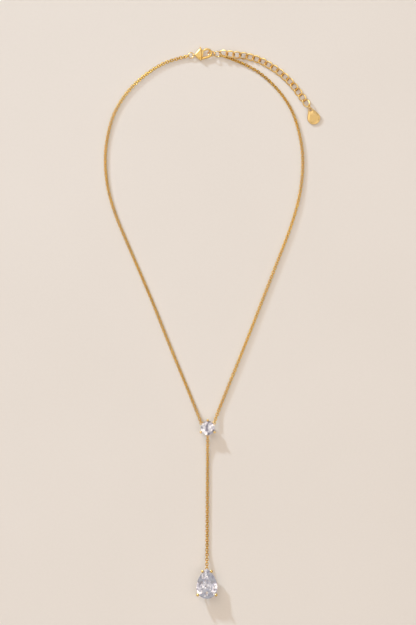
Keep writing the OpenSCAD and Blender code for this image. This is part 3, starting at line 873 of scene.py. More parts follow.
@dataclass(frozen=True)
class PearSetting(Setting):
    """Basket under the pear stone: base band, rail, four ball prongs and a chain loop at the tip."""

    stone_w: float = 9.5
    stone_l: float = 13.8
    girdle_z: float = 3.9
    base_inset: float = 2.1
    rail_inset: float = 0.5
    rail_wall: float = 0.5
    rail_z: float = 2.2
    rail_h: float = 0.6
    ball_d: float = 1.4
    ball_share: float = 0.25
    solder: float = 0.15
    drop_l: float = 77.4
    lies_at_x: float = -0.36
    tip_prong_dir: float = 43
    round_prong_dir: float = 35

    @property
    def round_r(self) -> float:
        """Radius of the stone's round end."""
        return self.stone_w / 2

    @property
    def side_r(self) -> float:
        """Radius of the two arcs that meet at the tip."""
        tip = self.stone_l - self.round_r
        return (tip**2 + self.round_r**2) / (2 * self.round_r)

    @property
    def middle(self) -> Points:
        """Middle of the round end, on the floor."""
        return np.array([self.lies_at_x, self.round_r - self.drop_l, 0])

    @property
    def loop_at(self) -> Points:
        """Middle of the chain loop."""
        tip = self.side_point(self.tip_angle(self.rail_inset), self.rail_inset)
        return self.middle + [0, tip[1] + self.loop_r - self.solder, self.rail_z]

    def tip_angle(self, inset: float) -> float:
        """Angle on a side arc, drawn in by an inset, at which it meets its twin."""
        return math.degrees(math.acos((self.side_r - self.round_r) / (self.side_r - inset)))

    def side_point(self, angle: float | Points, inset: float) -> Points:
        """A point of the right-hand arc, drawn in by an inset."""
        return (self.side_r - inset) * direction(angle) - [self.side_r - self.round_r, 0, 0]

    def outline(self, inset: float, count: int = 20) -> Points:
        """The pear's outline drawn in by an inset: right arc up, left arc down, half circle back.

        Args:
            inset: how far inside the stone's outline it runs.
            count: how many points each side arc has.

        Returns:
            The outline's points about the middle of the round end.
        """
        right = self.side_point(np.linspace(0, self.tip_angle(inset), count), inset)
        left = right[-2::-1] * [-1, 1, 1]
        low = (self.round_r - inset) * direction(np.linspace(180, 360, 2 * count)[1:-1])
        return np.concatenate([right, left, low])

    def band(self, inset: float, wall: float, z: float, h: float) -> Skin:
        """A band whose section is a soft rectangle.

        Args:
            inset: from the stone's outline to the band's outer wall.
            wall: width of the section.
            z: height of its middle.
            h: height of the section.

        Returns:
            The closed surface, where each point of the section is the outline at its own inset and height.
        """
        section = rounded_section(wall, h, 16) + [inset + wall / 2, z]
        return grid_skin(np.stack([self.outline(u) + v * UP for u, v in section]))

    def prong_point(self, near_tip: bool, inset: float, z: float) -> Points:
        """A point of a prong.

        Args:
            near_tip: whether the prong stands on a side arc near the tip, or else on the round end.
            inset: how far inside the stone's outline the point lies.
            z: its height.

        Returns:
            The point about the middle of the round end.
        """
        if near_tip:
            return self.side_point(self.tip_prong_dir, inset) + z * UP
        return (self.round_r - inset) * direction(-self.round_prong_dir) + z * UP

    def prong(self, near_tip: bool) -> Skin:
        """The right-hand prong.

        Args:
            near_tip: whether it stands near the tip, or else on the round end.

        Returns:
            The closed surface about the middle of the round end.
        """
        foot = self.prong_point(near_tip, self.base_inset + self.base_wall / 2, self.base_h / 2)
        knee = self.prong_point(near_tip, -self.knee_out, self.knee_z)
        ball = self.prong_point(near_tip, -self.ball_out, self.ball_z)
        return self.ball_prong(foot, knee, ball)

    def build(self, finish: bpy.types.Material) -> bpy.types.Object:
        """Makes the setting as one piece.

        Args:
            finish: its material.

        Returns:
            The piece.
        """
        parts = [
            self.band(self.base_inset, self.base_wall, self.base_h / 2, self.base_h),
            self.band(self.rail_inset, self.rail_wall, self.rail_z, self.rail_h),
        ]
        for near_tip in (True, False):
            parts += [self.prong(near_tip), self.prong(near_tip).mirrored()]
        parts = [part.moved(self.middle) for part in parts]
        parts.append(self.loop(self.loop_at))
        return add_piece("pear_basket", joined(parts), finish, ("pear_setting",))


@dataclass(frozen=True)
class Link:
    """A closed wire link about its own middle, its length along x and its width along y."""

    length: float
    width: float
    wire: float
    rings: int
    sides: int
    fuller: float
    # Where along the link the band of painted shade lies, its half width and its soft edge
    joint_shade_at: float = 0.58
    joint_shade_half: float = 0.18
    joint_shade_edge: float = 0.12

    def line(self) -> Points:
        """Middle line of the wire."""
        raise NotImplementedError

    def rest(self, roll: Points) -> Points:
        """Height of the link's middle when it lies on the floor, rolled by an angle in degrees."""
        raise NotImplementedError

    def skin(self) -> Skin:
        """Surface of the wire, a little thicker than packed, so that links all but touch as real ones do."""
        return closed_wire(self.line(), round_section(self.wire + self.fuller, self.sides))

    def joint_shade(self, points: Points) -> Points:
        """How deep each point lies in the band of painted shade where the next link comes through, 0 to 1.
        """
        off = np.abs(np.abs(points[:, 0]) / (self.length / 2) - self.joint_shade_at)
        return 1 - eased((off - self.joint_shade_half) / self.joint_shade_edge)


@dataclass(frozen=True)
class CableLink(Link):
    """Oval link of the fine cable chain: two half circles joined by straight sides."""

    length: float = 1.92
    width: float = 1.5
    wire: float = 0.4
    rings: int = 12
    sides: int = 6
    fuller: float = 0.02

    def line(self) -> Points:
        """Middle line of the wire.

        Returns:
            Half circle at one end, then the half circle at the other.
        """
        r, x = (self.width - self.wire) / 2, (self.length - self.width) / 2
        cap = direction(np.linspace(-90, 90, self.rings // 2)) * r
        return np.concatenate([cap + [x, 0, 0], -cap - [x, 0, 0]])

    def rest(self, roll: Points) -> Points:
        """Half the width between wires, by the larger of sine and cosine, and half a wire."""
        rise = np.abs(direction(roll)[..., :2]).max(-1)
        return (self.width - self.wire) / 2 * rise + self.wire / 2


@dataclass(frozen=True)
class CurbLink(Link):
    """Twisted oval link of the extender: its two ends are turned opposite ways."""

    length: float = 4.34
    width: float = 3.35
    wire: float = 0.54
    rings: int = 30
    sides: int = 10
    fuller: float = 0.12
    # On the extender the painted shade sits at the link's ends, where the next link comes through
    joint_shade_at: float = 0.95
    joint_shade_half: float = 0.04
    lift: float = 0.46

    def line(self) -> Points:
        """Middle line of the wire.

        Returns:
            Oval with cosine and sine, lifted by the sine of twice the angle.
        """
        t = np.arange(self.rings) * TAU / self.rings
        a, b = (self.length - self.wire) / 2, (self.width - self.wire) / 2
        return np.stack([a * np.cos(t), b * np.sin(t), self.lift * np.sin(2 * t)], -1)

    def rest(self, roll: Points) -> Points:
        """The lift and half a wire, whatever the roll."""
        return self.lift + self.wire / 2 + 0 * roll


@dataclass(frozen=True)
class Lay:
    """How a chain's links are rolled: each by a step past the last, with a twist that comes and goes."""

    start: float = 90.0
    step: float = 90.0
    middle: float = 10.0
    end: float = 90.0
    twist_share: float = 0.12
    wander: float = 0.0
    wander_waves: float = 3.5

    def twist(self, count: int) -> float:
        """Twist that brings the last of so many links to the end roll, less whole half turns."""
        return (self.end - self.start - self.step * (count - 1)) % 180

    def rolls(self, count: int, shares: Points) -> Points:
        """Roll of each link, in degrees.

        Args:
            count: how many links there are.
            shares: each link's place along the chain, from 0 to 1.

        Returns:
            Start, plus the step for each link, plus the twist: it eases from 0 to the middle value near the
            start, and near the end it eases on to whatever brings the last link to the end roll. Between its
            ends the twist wanders, as the sine of so many waves along the chain.
        """
        near_start = eased(shares / self.twist_share)
        near_end = eased((shares - 1 + self.twist_share) / self.twist_share)
        begin = self.middle * near_start
        finish = self.middle + (self.twist(count) - self.middle) * near_end
        astray = near_start * eased((1 - shares) / self.twist_share)
        wave = self.wander * astray * np.sin(TAU * self.wander_waves * shares)
        return self.start + self.step * np.arange(count) + np.where(shares < 0.5, begin, finish) + wave


@dataclass(frozen=True)
class Chain:
    """A chain of links laid along a route between the two wires that hold it."""

    name: str
    node: str
    link: Link
    lay: Lay
    play: float = 0.03

    def skin(self, route: Points) -> tuple[Skin, Points]:
        """All the links.

        As many links as fit at no more than the pulled pitch are set evenly along the route, and one more
        where that spares the end a half turn of twist. Each is turned to the curve there, rolled about it,
        and kept no lower than it lies on the floor.

        Args:
            route: (n, 3) chosen points from seat to seat.

        Returns:
            The links as separate closed surfaces, and how deep each of their points lies in the band of
            painted shade where links meet.
        """
        path = Path(smooth_route(route))
        half = (self.link.length - self.link.wire) / 2
        run = path.total - 2 * half
        count = math.ceil(run / (self.link.length - 2 * self.link.wire - self.play)) + 1
        count += 1 if self.lay.twist(count) >= 90 else 0
        at = half + run / (count - 1) * np.arange(count)
        roll = self.lay.rolls(count, at / path.total)
        middle = path.at(at)
        middle[:, 2] = np.maximum(middle[:, 2], self.link.rest(roll))
        near = half / 3
        way = unit(path.at(at + near) - path.at(at - near))
        level = unit(np.cross(UP, way))
        above = np.cross(way, level)
        a = np.radians(roll)[:, None]
        across = np.cos(a) * level + np.sin(a) * above
        through = np.cross(way, across)
        one = self.link.skin()
        axes = np.stack([way, across, through], 1)
        points = middle[:, None] + np.einsum("pk,nkx->npx", one.points, axes)
        numbers = np.arange(count)[:, None, None] * len(one.points)
        skin = Skin(points.reshape(-1, 3), (one.quads[None] + numbers).reshape(-1, 4))
        # Every link carries the same depths in the band of painted shade
        return skin, np.tile(self.link.joint_shade(one.points), count)

    def build(self, route: Points, finish: bpy.types.Material) -> bpy.types.Object:
        """Makes the chain as one piece.

        Args:
            route: (n, 3) chosen points from seat to seat.
            finish: its material.

        Returns:
            The piece.
        """
        skin, joint_shade = self.skin(route)
        return add_piece(self.name, skin, finish, (self.node,), joint_shade=joint_shade)


@dataclass(frozen=True)
class Ring:
    """A jump ring, tipped about the line of the chain that it joins."""

    name: str
    node: str
    diameter: float
    turn: float
    tip: float
    wire: float = 0.42
    fuller: float = 0.05
    rings: int = 56
    sides: int = 14

    @property
    def radius(self) -> float:
        """Radius of the middle of the wire."""
        return (self.diameter - self.wire) / 2

    def on_wire(self, place: float | Points) -> Points:
        """Places on the middle of the wire.

        Args:
            place: angles round the ring, in degrees, before it is tipped and turned.

        Returns:
            The places, in millimetres.
        """
        flat = self.radius * direction(place)
        tip = math.radians(self.tip)
        lean = np.stack([flat[..., 0], flat[..., 1] * math.cos(tip), flat[..., 1] * math.sin(tip)], -1)
        return node_middle(self.node) + spun(lean, self.turn)

    def build(self, finish: bpy.types.Material) -> bpy.types.Object:
        """Makes the ring.

        Args:
            finish: its material.

        Returns:
            The piece.
        """
        line = self.on_wire(np.arange(self.rings) * 360 / self.rings)
        section = round_section(self.wire + self.fuller, self.sides)
        return add_piece(self.name, closed_wire(line, section), finish, (self.node,))


@dataclass(frozen=True)
class Tag:
    """Teardrop tag with a raised rim round a sunk field, and a hole near its tip."""

    width: float = 5.9
    length: float = 8.1
    thick: float = 0.7
    tip_r: float = 0.95
    hole_d: float = 1.26
    hole_back: float = 0.1
    rim: float = 0.6
    sink: float = 0.12
    edge: float = 0.16
    lip_run: float = 0.1
    lip_drop: float = 0.06
    sink_edge: float = 0.12
    sink_run: float = 0.3
    rays: int = 120
    insets: tuple[float, ...] = (0.0, 0.02, 0.06, 0.11, 0.17, 0.24, 0.32)
    shares: tuple[float, ...] = (
        0.01, 0.02, 0.035, 0.05, 0.07, 0.09, 0.12, 0.16, 0.22, 0.32, 0.48, 0.7, 0.88, 0.97, 1.0,
    )
    tip_at: tuple[float, float] = (46.3, 145.7)
    turn: float = 22.0
    ring_lift: float = 0.01

    @property
    def round_r(self) -> float:
        """Radius of the round end."""
        return self.width / 2

    @property
    def reach(self) -> float:
        """From the middle of the round end to the middle of the tip."""
        return self.length - self.round_r - self.tip_r

    @property
    def hole_y(self) -> float:
        """Place of the hole's middle."""
        return self.reach - self.hole_back

    def depth(self, p: Points) -> Points:
        """Depth of points in plan inside the outline, which is two circles and the lines that touch both.

        Beside such a line it is the circle's radius less the distance along the line's normal. Past the
        line's ends it is the nearer circle's radius less the distance to its middle.

        Args:
            p: points about the middle of the round end.

        Returns:
            Depth of each, less than zero outside.
        """
        x, y = np.abs(p[..., 0]), p[..., 1]
        b = (self.round_r - self.tip_r) / self.reach
        a = math.sqrt(1 - b * b)
        k = a * y - b * x
        low = self.round_r - np.hypot(x, y)
        high = self.tip_r - np.hypot(x, y - self.reach)
        beside = self.round_r - (a * x + b * y)
        return np.select([k < 0, k > a * self.reach], [low, high], beside)

    def skin(self) -> Skin:
        """The tag about the middle of its round end.

        Rings run round the edge, over the face into the hole and back under. Those by the edge are the
        outline at each inset, and the others lie at shares of the way from the last of these to the hole.

        Returns:
            The closed surface.
        """
        ways = direction(np.arange(self.rays) * 360 / self.rays)
        centre, hole = np.array([0, self.hole_y, 0]), self.hole_d / 2
        outer = [edge_reach(self.depth, centre, ways, self.length, inset) for inset in self.insets]
        inner = [outer[-1] + share * (hole - outer[-1]) for share in self.shares]
        distance = np.stack(outer + inner)
        plan = centre + distance[..., None] * ways
        deep = self.depth(plan)
        past = np.clip(self.edge - deep, 0, self.edge)
        round_off = self.edge - np.sqrt(self.edge**2 - past**2)
        lip = np.clip(1 - (distance - hole) / self.lip_run, 0, 1) ** 2 * self.lip_drop
        off_rim = eased((deep - self.rim + self.sink_edge / 2) / self.sink_edge)
        field = self.sink * off_rim * eased((distance - hole - self.lip_run) / self.sink_run)
        half = self.thick / 2
        top = plan + (half - round_off - field - lip)[..., None] * UP
        under = plan - (half - round_off - lip)[..., None] * UP
        return grid_skin(np.concatenate([top, under[::-1]])).moved(half * UP)

    def build(self, ring: Ring, finish: bpy.types.Material) -> bpy.types.Object:
        """Lays the tag with its round end on the floor and its hole over the ring that passes under it.

        Args:
            ring: the ring that holds the tag.
            finish: the tag's material.

        Returns:
            The piece.
        """
        lift = ring.radius * abs(math.sin(math.radians(ring.tip))) + ring.wire / 2 + self.ring_lift
        pitch = math.asin((lift - self.thick / 2) / (self.hole_y + self.round_r))
        way = direction(self.turn - 90)
        hole_at = np.array([*self.tip_at, lift]) + (self.length - self.round_r - self.hole_y) * way
        foot = hole_at * [1, 1, 0] + (self.hole_y + self.round_r) * math.cos(pitch) * way
        skin = self.skin().moved([0, self.round_r, 0])
        c, s = math.cos(pitch), math.sin(pitch)
        leaned = skin.points @ np.array([[1, 0, 0], [0, c, s], [0, -s, c]])
        laid = skin.over(spun(leaned, self.turn) + foot)
        return add_piece("teardrop_tag", laid, finish, ("tag",))


def work_object(name: str, skin: Skin) -> bpy.types.Object:
    """An object for carving, in millimetres, which is taken away again.

    Args:
        name: the object's name.
        skin: its surface.

    Returns:
        The object.
    """
    made = bpy.data.objects.new(name, closed_mesh(name, skin))
    bpy.context.scene.collection.objects.link(made)
    return made


def cast_skin(solids: list[Skin], cuts: list[Skin], grain: float, rounds: int) -> Skin:
    """One smooth casting from closed surfaces that run into each other.

    The cuts come off the first solid. Then all solids are covered by one net of small squares, which is
    relaxed a few times, so that edges and inner corners come out soft, as on a cast and polished piece.

    Args:
        solids: the closed surfaces, in millimetres.
        cuts: closed surfaces whose inside is taken off the first solid.
        grain: size of the net's squares, in millimetres.
        rounds: how many times the net is relaxed.

    Returns:
        The casting's surface.
    """
    block = work_object("block", solids[0])
    cutters = [work_object("cutter", cut) for cut in cuts]
    for cutter in cutters:
        carve = block.modifiers.new("carve", "BOOLEAN")
        carve.operation = "DIFFERENCE"
        carve.solver = "EXACT"
        carve.object = cutter
    carved = read_skin(block)
    whole = work_object("whole", joined([carved, *solids[1:]]))
    net = whole.modifiers.new("net", "REMESH")
    net.mode = "VOXEL"
    net.voxel_size = grain
    relax = whole.modifiers.new("relax", "SMOOTH")
    relax.factor = 0.5
    relax.iterations = rounds
    skin = read_skin(whole)
    for made in (block, whole, *cutters):
        mesh = made.data
        bpy.data.objects.remove(made)
        bpy.data.meshes.remove(mesh)
    return skin


def read_skin(made: bpy.types.Object) -> Skin:
    """The surface of an object with its modifiers.

    Args:
        made: the object.

    Returns:
        The surface, in the object's own units.
    """
    shape = made.evaluated_get(bpy.context.evaluated_depsgraph_get())
    mesh = shape.to_mesh()
    mesh.calc_loop_triangles()
    points = np.empty(len(mesh.vertices) * 3)
    tris = np.empty(len(mesh.loop_triangles) * 3, int)
    mesh.vertices.foreach_get("co", points)
    mesh.loop_triangles.foreach_get("vertices", tris)
    shape.to_mesh_clear()
    return Skin(points.reshape(-1, 3), tris=tris.reshape(-1, 3))


@dataclass(frozen=True)
class Clasp:
    """Lobster clasp, cast and polished: body and lever, with places in plan from the hook's centre."""

    hook_at: tuple[float, float] = (-0.2, 170.4)
    turn: float = 3.0
    hook_r: float = 1.8
    hook_wire: float = 1.0
    hook_from: float = -80.0
    hook_to: float = 138.0
    arm_d: float = 1.15
    arm_l: float = 3.4
    thick: float = 2.2
    slot_h: float = 0.96
    corners: tuple = ((-5.09, -0.6), (-3.15, 1.45), (-3.29, -2.3))
    corner_r: float = 0.74
    softness: float = 0.46
    dome: float = 0.62
    dome_rays: int = 96
    dome_rings: int = 24
    dome_first: float = 0.02
    slot: tuple = ((-4.15, -1.5), (-5.2, 1.9), (-4.5, 3.42), (-1.5, 3.42), (-1.5, -1.5))
    pin_at: tuple[float, float] = (-3.35, -1.5)
    pin_d: float = 0.7
    rivet_d: float = 0.9
    rivet_proud: float = 0.05
    rivet_sunk: float = 0.1
    rivet_point: float = 0.001
    rivet_rings: int = 7
    rivet_sides: int = 32
    boss_room: float = 0.72
    tail_at: tuple[float, float] = (-6.1, -0.62)
    tail_wire: float = 0.45
    tail_hole: float = 0.82
    tip_round: float = 0.24
    arm_rings: int = 20
    arm_end: float = 0.1
    hook_rings: int = 70
    narrow_from: float = 0.6
    lever_t: float = 0.8
    lever_hole: float = 0.8
    boss_r: float = 0.62
    lever: tuple = (
        (-3.0, -1.8), (-2.3, -1.5), (-1.93, -0.9), (-1.78, 0.0), (-1.7, 0.6), (-1.36, 1.1), (-1.8, 1.56),
        (-2.3, 1.9), (-2.72, 2.0), (-2.78, 3.1), (-3.2, 3.2), (-3.45, 1.9), (-3.95, -1.3),
    )
    grain: float = 0.055
    rounds: int = 8
    lever_rounds: int = 4
    lever_cuts: int = 3

    def depth(self, p: Points) -> Points:
        """Depth of points in plan inside the body's soft triangle.

        It is the soft smallest of the distances e to the three edges: minus softness x log of the sum of
        exp(-e / softness). Each edge lies a corner radius outside its two corners.

        Args:
            p: points about the hook's centre.

        Returns:
            Depth of each, less than zero outside.
        """
        corners = np.array(self.corners)
        along = unit(np.roll(corners, -1, 0) - corners)
        inward = np.stack([along[:, 1], -along[:, 0]], -1)
        e = np.einsum("...k,ek->...e", p[..., :2], inward) - np.sum(corners * inward, -1) + self.corner_r
        return -self.softness * np.log(np.sum(np.exp(-e / self.softness), -1))

    def pillow(self) -> Skin:
        """The body's block: an upright wall as high as the slot, with a dome above and below.

        At a depth d inside the outline the dome is its height x the root of 1 less the square of
        (1 - d / dome).

        Returns:
            The closed surface about the hook's centre.
        """
        middle = np.array([*np.mean(self.corners, 0), 0])
        ways = direction(np.arange(self.dome_rays) * 360 / self.dome_rays)
        reach = edge_reach(self.depth, middle, ways, self.hook_r * 2)
        shares = np.sin(np.linspace(self.dome_first, math.pi / 2, self.dome_rings))
        plan = middle + shares[:, None, None] * reach[None, :, None] * ways
        rise = np.sqrt(1 - (1 - np.clip(self.depth(plan) / self.dome, 0, 1)) ** 2)
        z = (self.slot_h + (self.thick - self.slot_h) * rise) / 2
        top, under = plan + z[..., None] * UP, plan - z[..., None] * UP
        return grid_skin(np.concatenate([top, under[::-1]]), loop_rows=False)

    def prism(self, outline: Points, height: float) -> Skin:
        """A block over an outline in plan, as far above the middle as below it."""
        flat = np.concatenate([outline, np.zeros((len(outline), 1))], -1)
        return grid_skin(np.stack([flat - height / 2 * UP, flat + height / 2 * UP]), loop_rows=False)

    def hook(self) -> Skin:
        """Arm and hook in one rod.

        It runs straight and then round the arc. It narrows past the arm, and at the tip its radius falls by
        a quarter circle.

        Returns:
            The closed surface about the hook's centre.
        """
        shares = np.sin(np.linspace(0, math.pi / 2, self.hook_rings))
        angles = self.hook_from + (self.hook_to - self.hook_from) * shares
        arc = self.hook_r * direction(angles)
        back = direction(self.hook_from - 90)
        arm = arc[0] + np.linspace(self.arm_l, self.arm_end, self.arm_rings)[:, None] * back
        path = Path(np.concatenate([arm, arc]))
        s = path.marks
        wide = self.arm_d + (self.hook_wire - self.arm_d) * eased(s / self.arm_l - self.narrow_from)
        tip = np.clip((s[-1] - s) / self.tip_round, 0.0, 1)
        blunt = self.tip_round * (1 - np.sqrt(1 - (1 - tip) ** 2))
        return open_rod(path.points, wide / 2 - blunt, UP)

    def body_skin(self) -> Skin:
        """Body, hook and tail as one casting, with the riveted pin.

        Returns:
            The closed surfaces about the hook's centre.
        """
        pin = [*self.pin_at, 0]
        room = circle(self.pin_at, self.boss_room)
        tail = wire_ring((self.tail_hole + self.tail_wire) / 2, self.tail_wire)
        tail = tail.over(tail.points[:, [0, 2, 1]] + [*self.tail_at, 0])
        cuts = [self.prism(np.array(self.slot), self.slot_h), self.prism(room, self.slot_h)]
        casting = cast_skin([self.pillow(), self.hook(), tail], cuts, self.grain, self.rounds)
        t = np.linspace(0, math.pi / 2, self.rivet_rings)
        head_low = self.thick / 2 - self.rivet_sunk
        head_high = self.thick / 2 + self.rivet_proud
        head = np.stack([self.rivet_d / 2 * np.cos(t), head_low + (head_high - head_low) * np.sin(t)], -1)
        shaft = np.array([[self.pin_d / 2, 0.0], [self.pin_d / 2, head_low]])
        half = np.concatenate([shaft, head[:-1], [[self.rivet_point, head_high]]])
        rivet = turned(np.concatenate([half, half[:0:-1] * [1, -1]]), self.rivet_sides).moved(pin)
        return joined([casting, rivet])

    def lever_skin(self) -> Skin:
        """Lever: thumb tab, gate and boss round the pin's hole.

        Returns:
            The closed surface about the hook's centre.
        """
        boss = circle(self.pin_at, self.boss_r)
        hole = circle(self.pin_at, self.lever_hole / 2)
        plate = self.prism(cut_corners(np.array(self.lever), self.lever_cuts), self.lever_t)
        pierced = [self.prism(hole, self.lever_t * 2)]
        whole = cast_skin([plate, self.prism(boss, self.lever_t)], [], self.grain, 0)
        return cast_skin([whole], pierced, self.grain, self.lever_rounds)

    def placed(self, skin: Skin) -> Skin:
        """A surface turned and moved from the hook's centre to the clasp's place."""
        return skin.over(spun(skin.points, self.turn) + [*self.hook_at, self.thick / 2])

    def build(self, finish: bpy.types.Material) -> None:
        """Makes the body and the lever at their places."""
        add_piece("clasp_frame", self.placed(self.body_skin()), finish, ("clasp_body",))
        add_piece("clasp_gate", self.placed(self.lever_skin()), finish, ("clasp_lever",), Body.LEVER)


def cut_corners(outline: Points, rounds: int) -> Points:
    """A closed outline with its corners cut.

    Args:
        outline: (n, 2) points.
        rounds: how many times each side is replaced by the points at its quarter and three quarters.

    Returns:
        The softer outline.
    """
    for _ in range(rounds):
        after = np.roll(outline, -1, 0)
        outline = np.stack([0.75 * outline + 0.25 * after, 0.25 * outline + 0.75 * after], 1).reshape(-1, 2)
    return outline


@dataclass(frozen=True)
class Necklace:
    """The whole necklace: its rings, chains, settings, stones, clasp and tag, and its chains' routes."""

    link_gap: float = 0.1
    catch_gap: float = 0.16
    tipped_gap: float = 0.22
    sink_run: float = 9.0
    chain_place: float = -28.0
    extender_place: float = 30.0
    curb_play: float = 0.13
    link_roll: float = 10.0
    link_wander: float = 9.0
    tipped_end_roll: float = 134.0
    left_route: tuple = (
        (-7.1, 12.7), (-13.1, 27.3), (-19, 41.8), (-24.8, 56.4), (-30.9, 70.9), (-37.2, 85.5),
        (-41.7, 96.4), (-45, 107.3), (-46.5, 118.3), (-46.1, 129.2), (-43.6, 140.1), (-40.2, 147.4),
        (-35.4, 154), (-29.9, 159.3), (-24.4, 163.3), (-19, 166.2), (-13.5, 168),
    )
    right_route: tuple = (
        (5.4, 9.1), (9.8, 20), (14.2, 30.9), (20, 45.5), (25.6, 60), (31.3, 74.6), (36.9, 89.1),
        (40.4, 100.1), (42.6, 111), (43.2, 121.9), (42.2, 131.2), (39.2, 142), (34.4, 150.6), (27.8, 158),
        (20.6, 163.4), (10.6, 167.9),
    )
    extender_route: tuple = (
        (11.4, 169.7, 2.1), (17.6, 169, 0.95), (23.6, 167.2, 0), (29, 164.3, 0), (34.2, 160.5, 0),
        (39, 155.6, 0), (43.3, 149.9, 0),
    )

    def lying(self, route: tuple, link: Link, roll: float) -> Points:
        """A route's points, none lower than the middle of a link that lies on the floor.

        Args:
            route: chosen points in plan, some with a height.
            link: the chain's link.
            roll: how far the link is rolled, in degrees.

        Returns:
            (n, 3) points.
        """
        points = np.array([(*p, 0.0)[:3] for p in route], float)
        points[:, 2] = np.maximum(points[:, 2], link.rest(roll))
        return points

    def seat(self, wire_at: Points, way: Points, wire: float, own_wire: float, gap: float) -> Points:
        """Where a chain's last wire lies inside the loop that holds it.

        Args:
            wire_at: middle of the holding wire.
            way: direction from the chain to it.
            wire: thickness of the holding wire.
            own_wire: thickness of the link's wire.
            gap: clear space between the two.

        Returns:
            The place, back from the holding wire.
        """
        return wire_at - (wire / 2 + own_wire / 2 + gap) * way

    def build(self, nodes: dict[str, bpy.types.Object]) -> None:
        """Makes every piece and gives the stones their finish.

        Args:
            nodes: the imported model's objects by name.
        """
        gold = PolishedGold().build()
        fine_gold = PolishedGold(
            "fine_link_plate",
            light=(1.0, 0.74, 0.15, 1.0),
            deep=(1.0, 0.66, 0.07, 1.0),
            # Colour of the painted shade where the fine links meet
            joint_shade=(0.52, 0.17, 0.0, 1.0),
            lacquer=0.05,
        ).build()
        cast_gold = PolishedGold("cast_gold_plate", sheen_low=0.36, sheen_high=0.48).build()
        basket, pear = RoundSetting(), PearSetting()
        basket.build(gold)
        pear.build(gold)
        tail = Ring("tail_jump_ring", "clasp_ring", diameter=2.9, turn=3.0, tip=0.0)
        catch = Ring("catch_jump_ring", "catch_ring", diameter=3.65, turn=-7.0, tip=-45.0)
        gather = Ring("gather_jump_ring", "end_ring", diameter=3.75, turn=-5.0, tip=50.0)
        hang = Ring("tag_jump_ring", "tag_ring", diameter=2.8, turn=-68.0, tip=-70.0)
        for ring in (tail, catch, gather, hang):
            ring.build(gold)
        self.build_neck(basket, tail, gather, fine_gold)
        self.build_drop(basket, pear, fine_gold)
        self.build_extender(gather, hang, cast_gold)
        Tag().build(hang, SatinGold().build())
        Clasp().build(cast_gold)
        round_stone = CutStone(
            "clear_round_stone",
            tint=(1.0, 0.99, 0.98, 1.0),
            cool=(0.87, 0.84, 0.9, 1.0),
            # Nearly black painted reflections in more of the facets
            dark_reflection=(0.05, 0.04, 0.07, 1.0),
            dark_reflection_from=0.58,
            facet_scale=850.0,
        )
        for name, cut in (("centre_stone", round_stone), ("pear_stone", CutStone("clear_pear_stone"))):
            stone = cut.build()
            nodes[name].data.materials.clear()
            nodes[name].data.materials.append(stone)
            log.info("%s: packed solid in slot %s with %s", name, Slot.STONE.value, stone.name)

    def build_neck(self, basket: RoundSetting, tail: Ring, gather: Ring, gold: bpy.types.Material) -> None:
        """Lays the two neck chains, up to the clasp's ring on the left and the gathering ring on the right.

        Args:
            basket: the setting that both start from.
            tail: the ring that holds the left one.
            gather: the ring that holds the right one.
            gold: their material.
        """
        link = CableLink()
        for name, node, route, angle in (
            ("left_neck_chain", "neck_chain_left", self.left_route, basket.left_loop_dir),
            ("right_neck_chain", "neck_chain_right", self.right_route, basket.right_loop_dir),
        ):
            points = self.lying(route, link, self.link_roll)
            loop = basket.loop_at(angle)
            low_way = flat_way(loop, points[0])
            held = loop + basket.loop_r * low_way
            start = self.seat(held, low_way, basket.loop_wire, link.wire, self.link_gap)
            if node == "neck_chain_left":
                middle = node_middle(tail.node)
                top_way = flat_way(middle, points[-1])
                held = middle + tail.radius * top_way
                end = self.seat(held, top_way, tail.wire, link.wire, self.link_gap)
                lay = Lay(middle=self.link_roll, wander=self.link_wander)
            else:
                held = gather.on_wire(self.chain_place)
                top_way = flat_way(held, points[-1])
                end = self.seat(held, top_way, gather.wire, link.wire, self.catch_gap)
                lay = Lay(middle=self.link_roll, end=self.tipped_end_roll, wander=-self.link_wander)
            Chain(name, node, link, lay).build(np.concatenate([[start], points, [end]]), gold)

    def build_drop(self, basket: RoundSetting, pear: PearSetting, gold: bpy.types.Material) -> None:
        """Lays the drop chain straight, down to the floor after the round setting and up to the pear.

        Args:
            basket: the setting above.
            pear: the setting below.
            gold: the chain's material.
        """
        link = CableLink()
        top = basket.loop_at(basket.drop_loop_dir) - [0, basket.loop_r, 0]
        low = pear.loop_at + [0, pear.loop_r, 0]
        shares = np.linspace(0, 1, 11)
        y = top[1] - self.sink_run + shares * (low[1] - top[1] + 2 * self.sink_run)
        x = pear.lies_at_x * (top[1] - y) / (top[1] - low[1])
        points = np.stack([x, y, np.zeros(len(y)) + link.rest(self.link_roll)], -1)
        down = np.array([0.0, -1.0, 0.0])
        start = self.seat(top, down, basket.loop_wire, link.wire, self.link_gap)
        end = self.seat(low, -down, pear.loop_wire, link.wire, self.link_gap)
        chain = Chain("drop_links", "drop_chain", link, Lay(middle=self.link_roll))
        chain.build(np.concatenate([[start], points, [end]]), gold)

    def build_extender(self, gather: Ring, hang: Ring, gold: bpy.types.Material) -> None:
        """Lays the extender.

        Args:
            gather: the ring that it starts from.
            hang: the tag's ring, where it ends.
            gold: its material.
        """
        link = CurbLink()
        points = self.lying(self.extender_route, link, 0.0)
        held = gather.on_wire(self.extender_place)
        way = flat_way(held, points[0])
        middle = node_middle(hang.node)
        end_way = flat_way(middle, points[-1])
        start = self.seat(held, way, gather.wire, link.wire, self.tipped_gap)
        end = self.seat(middle + hang.radius * end_way, end_way, hang.wire, link.wire, self.tipped_gap)
        flat = Lay(start=0.0, step=0.0, middle=0.0, end=0.0)
        chain = Chain("extender_links", "extender_chain", link, flat, self.curb_play)
        chain.build(np.concatenate([[start], points, [end]]), gold)


def flat_way(start: Points, end: Points) -> Points:
    """Direction in plan from one place to another."""
    return unit((end - start) * [1, 1, 0])


# Studio


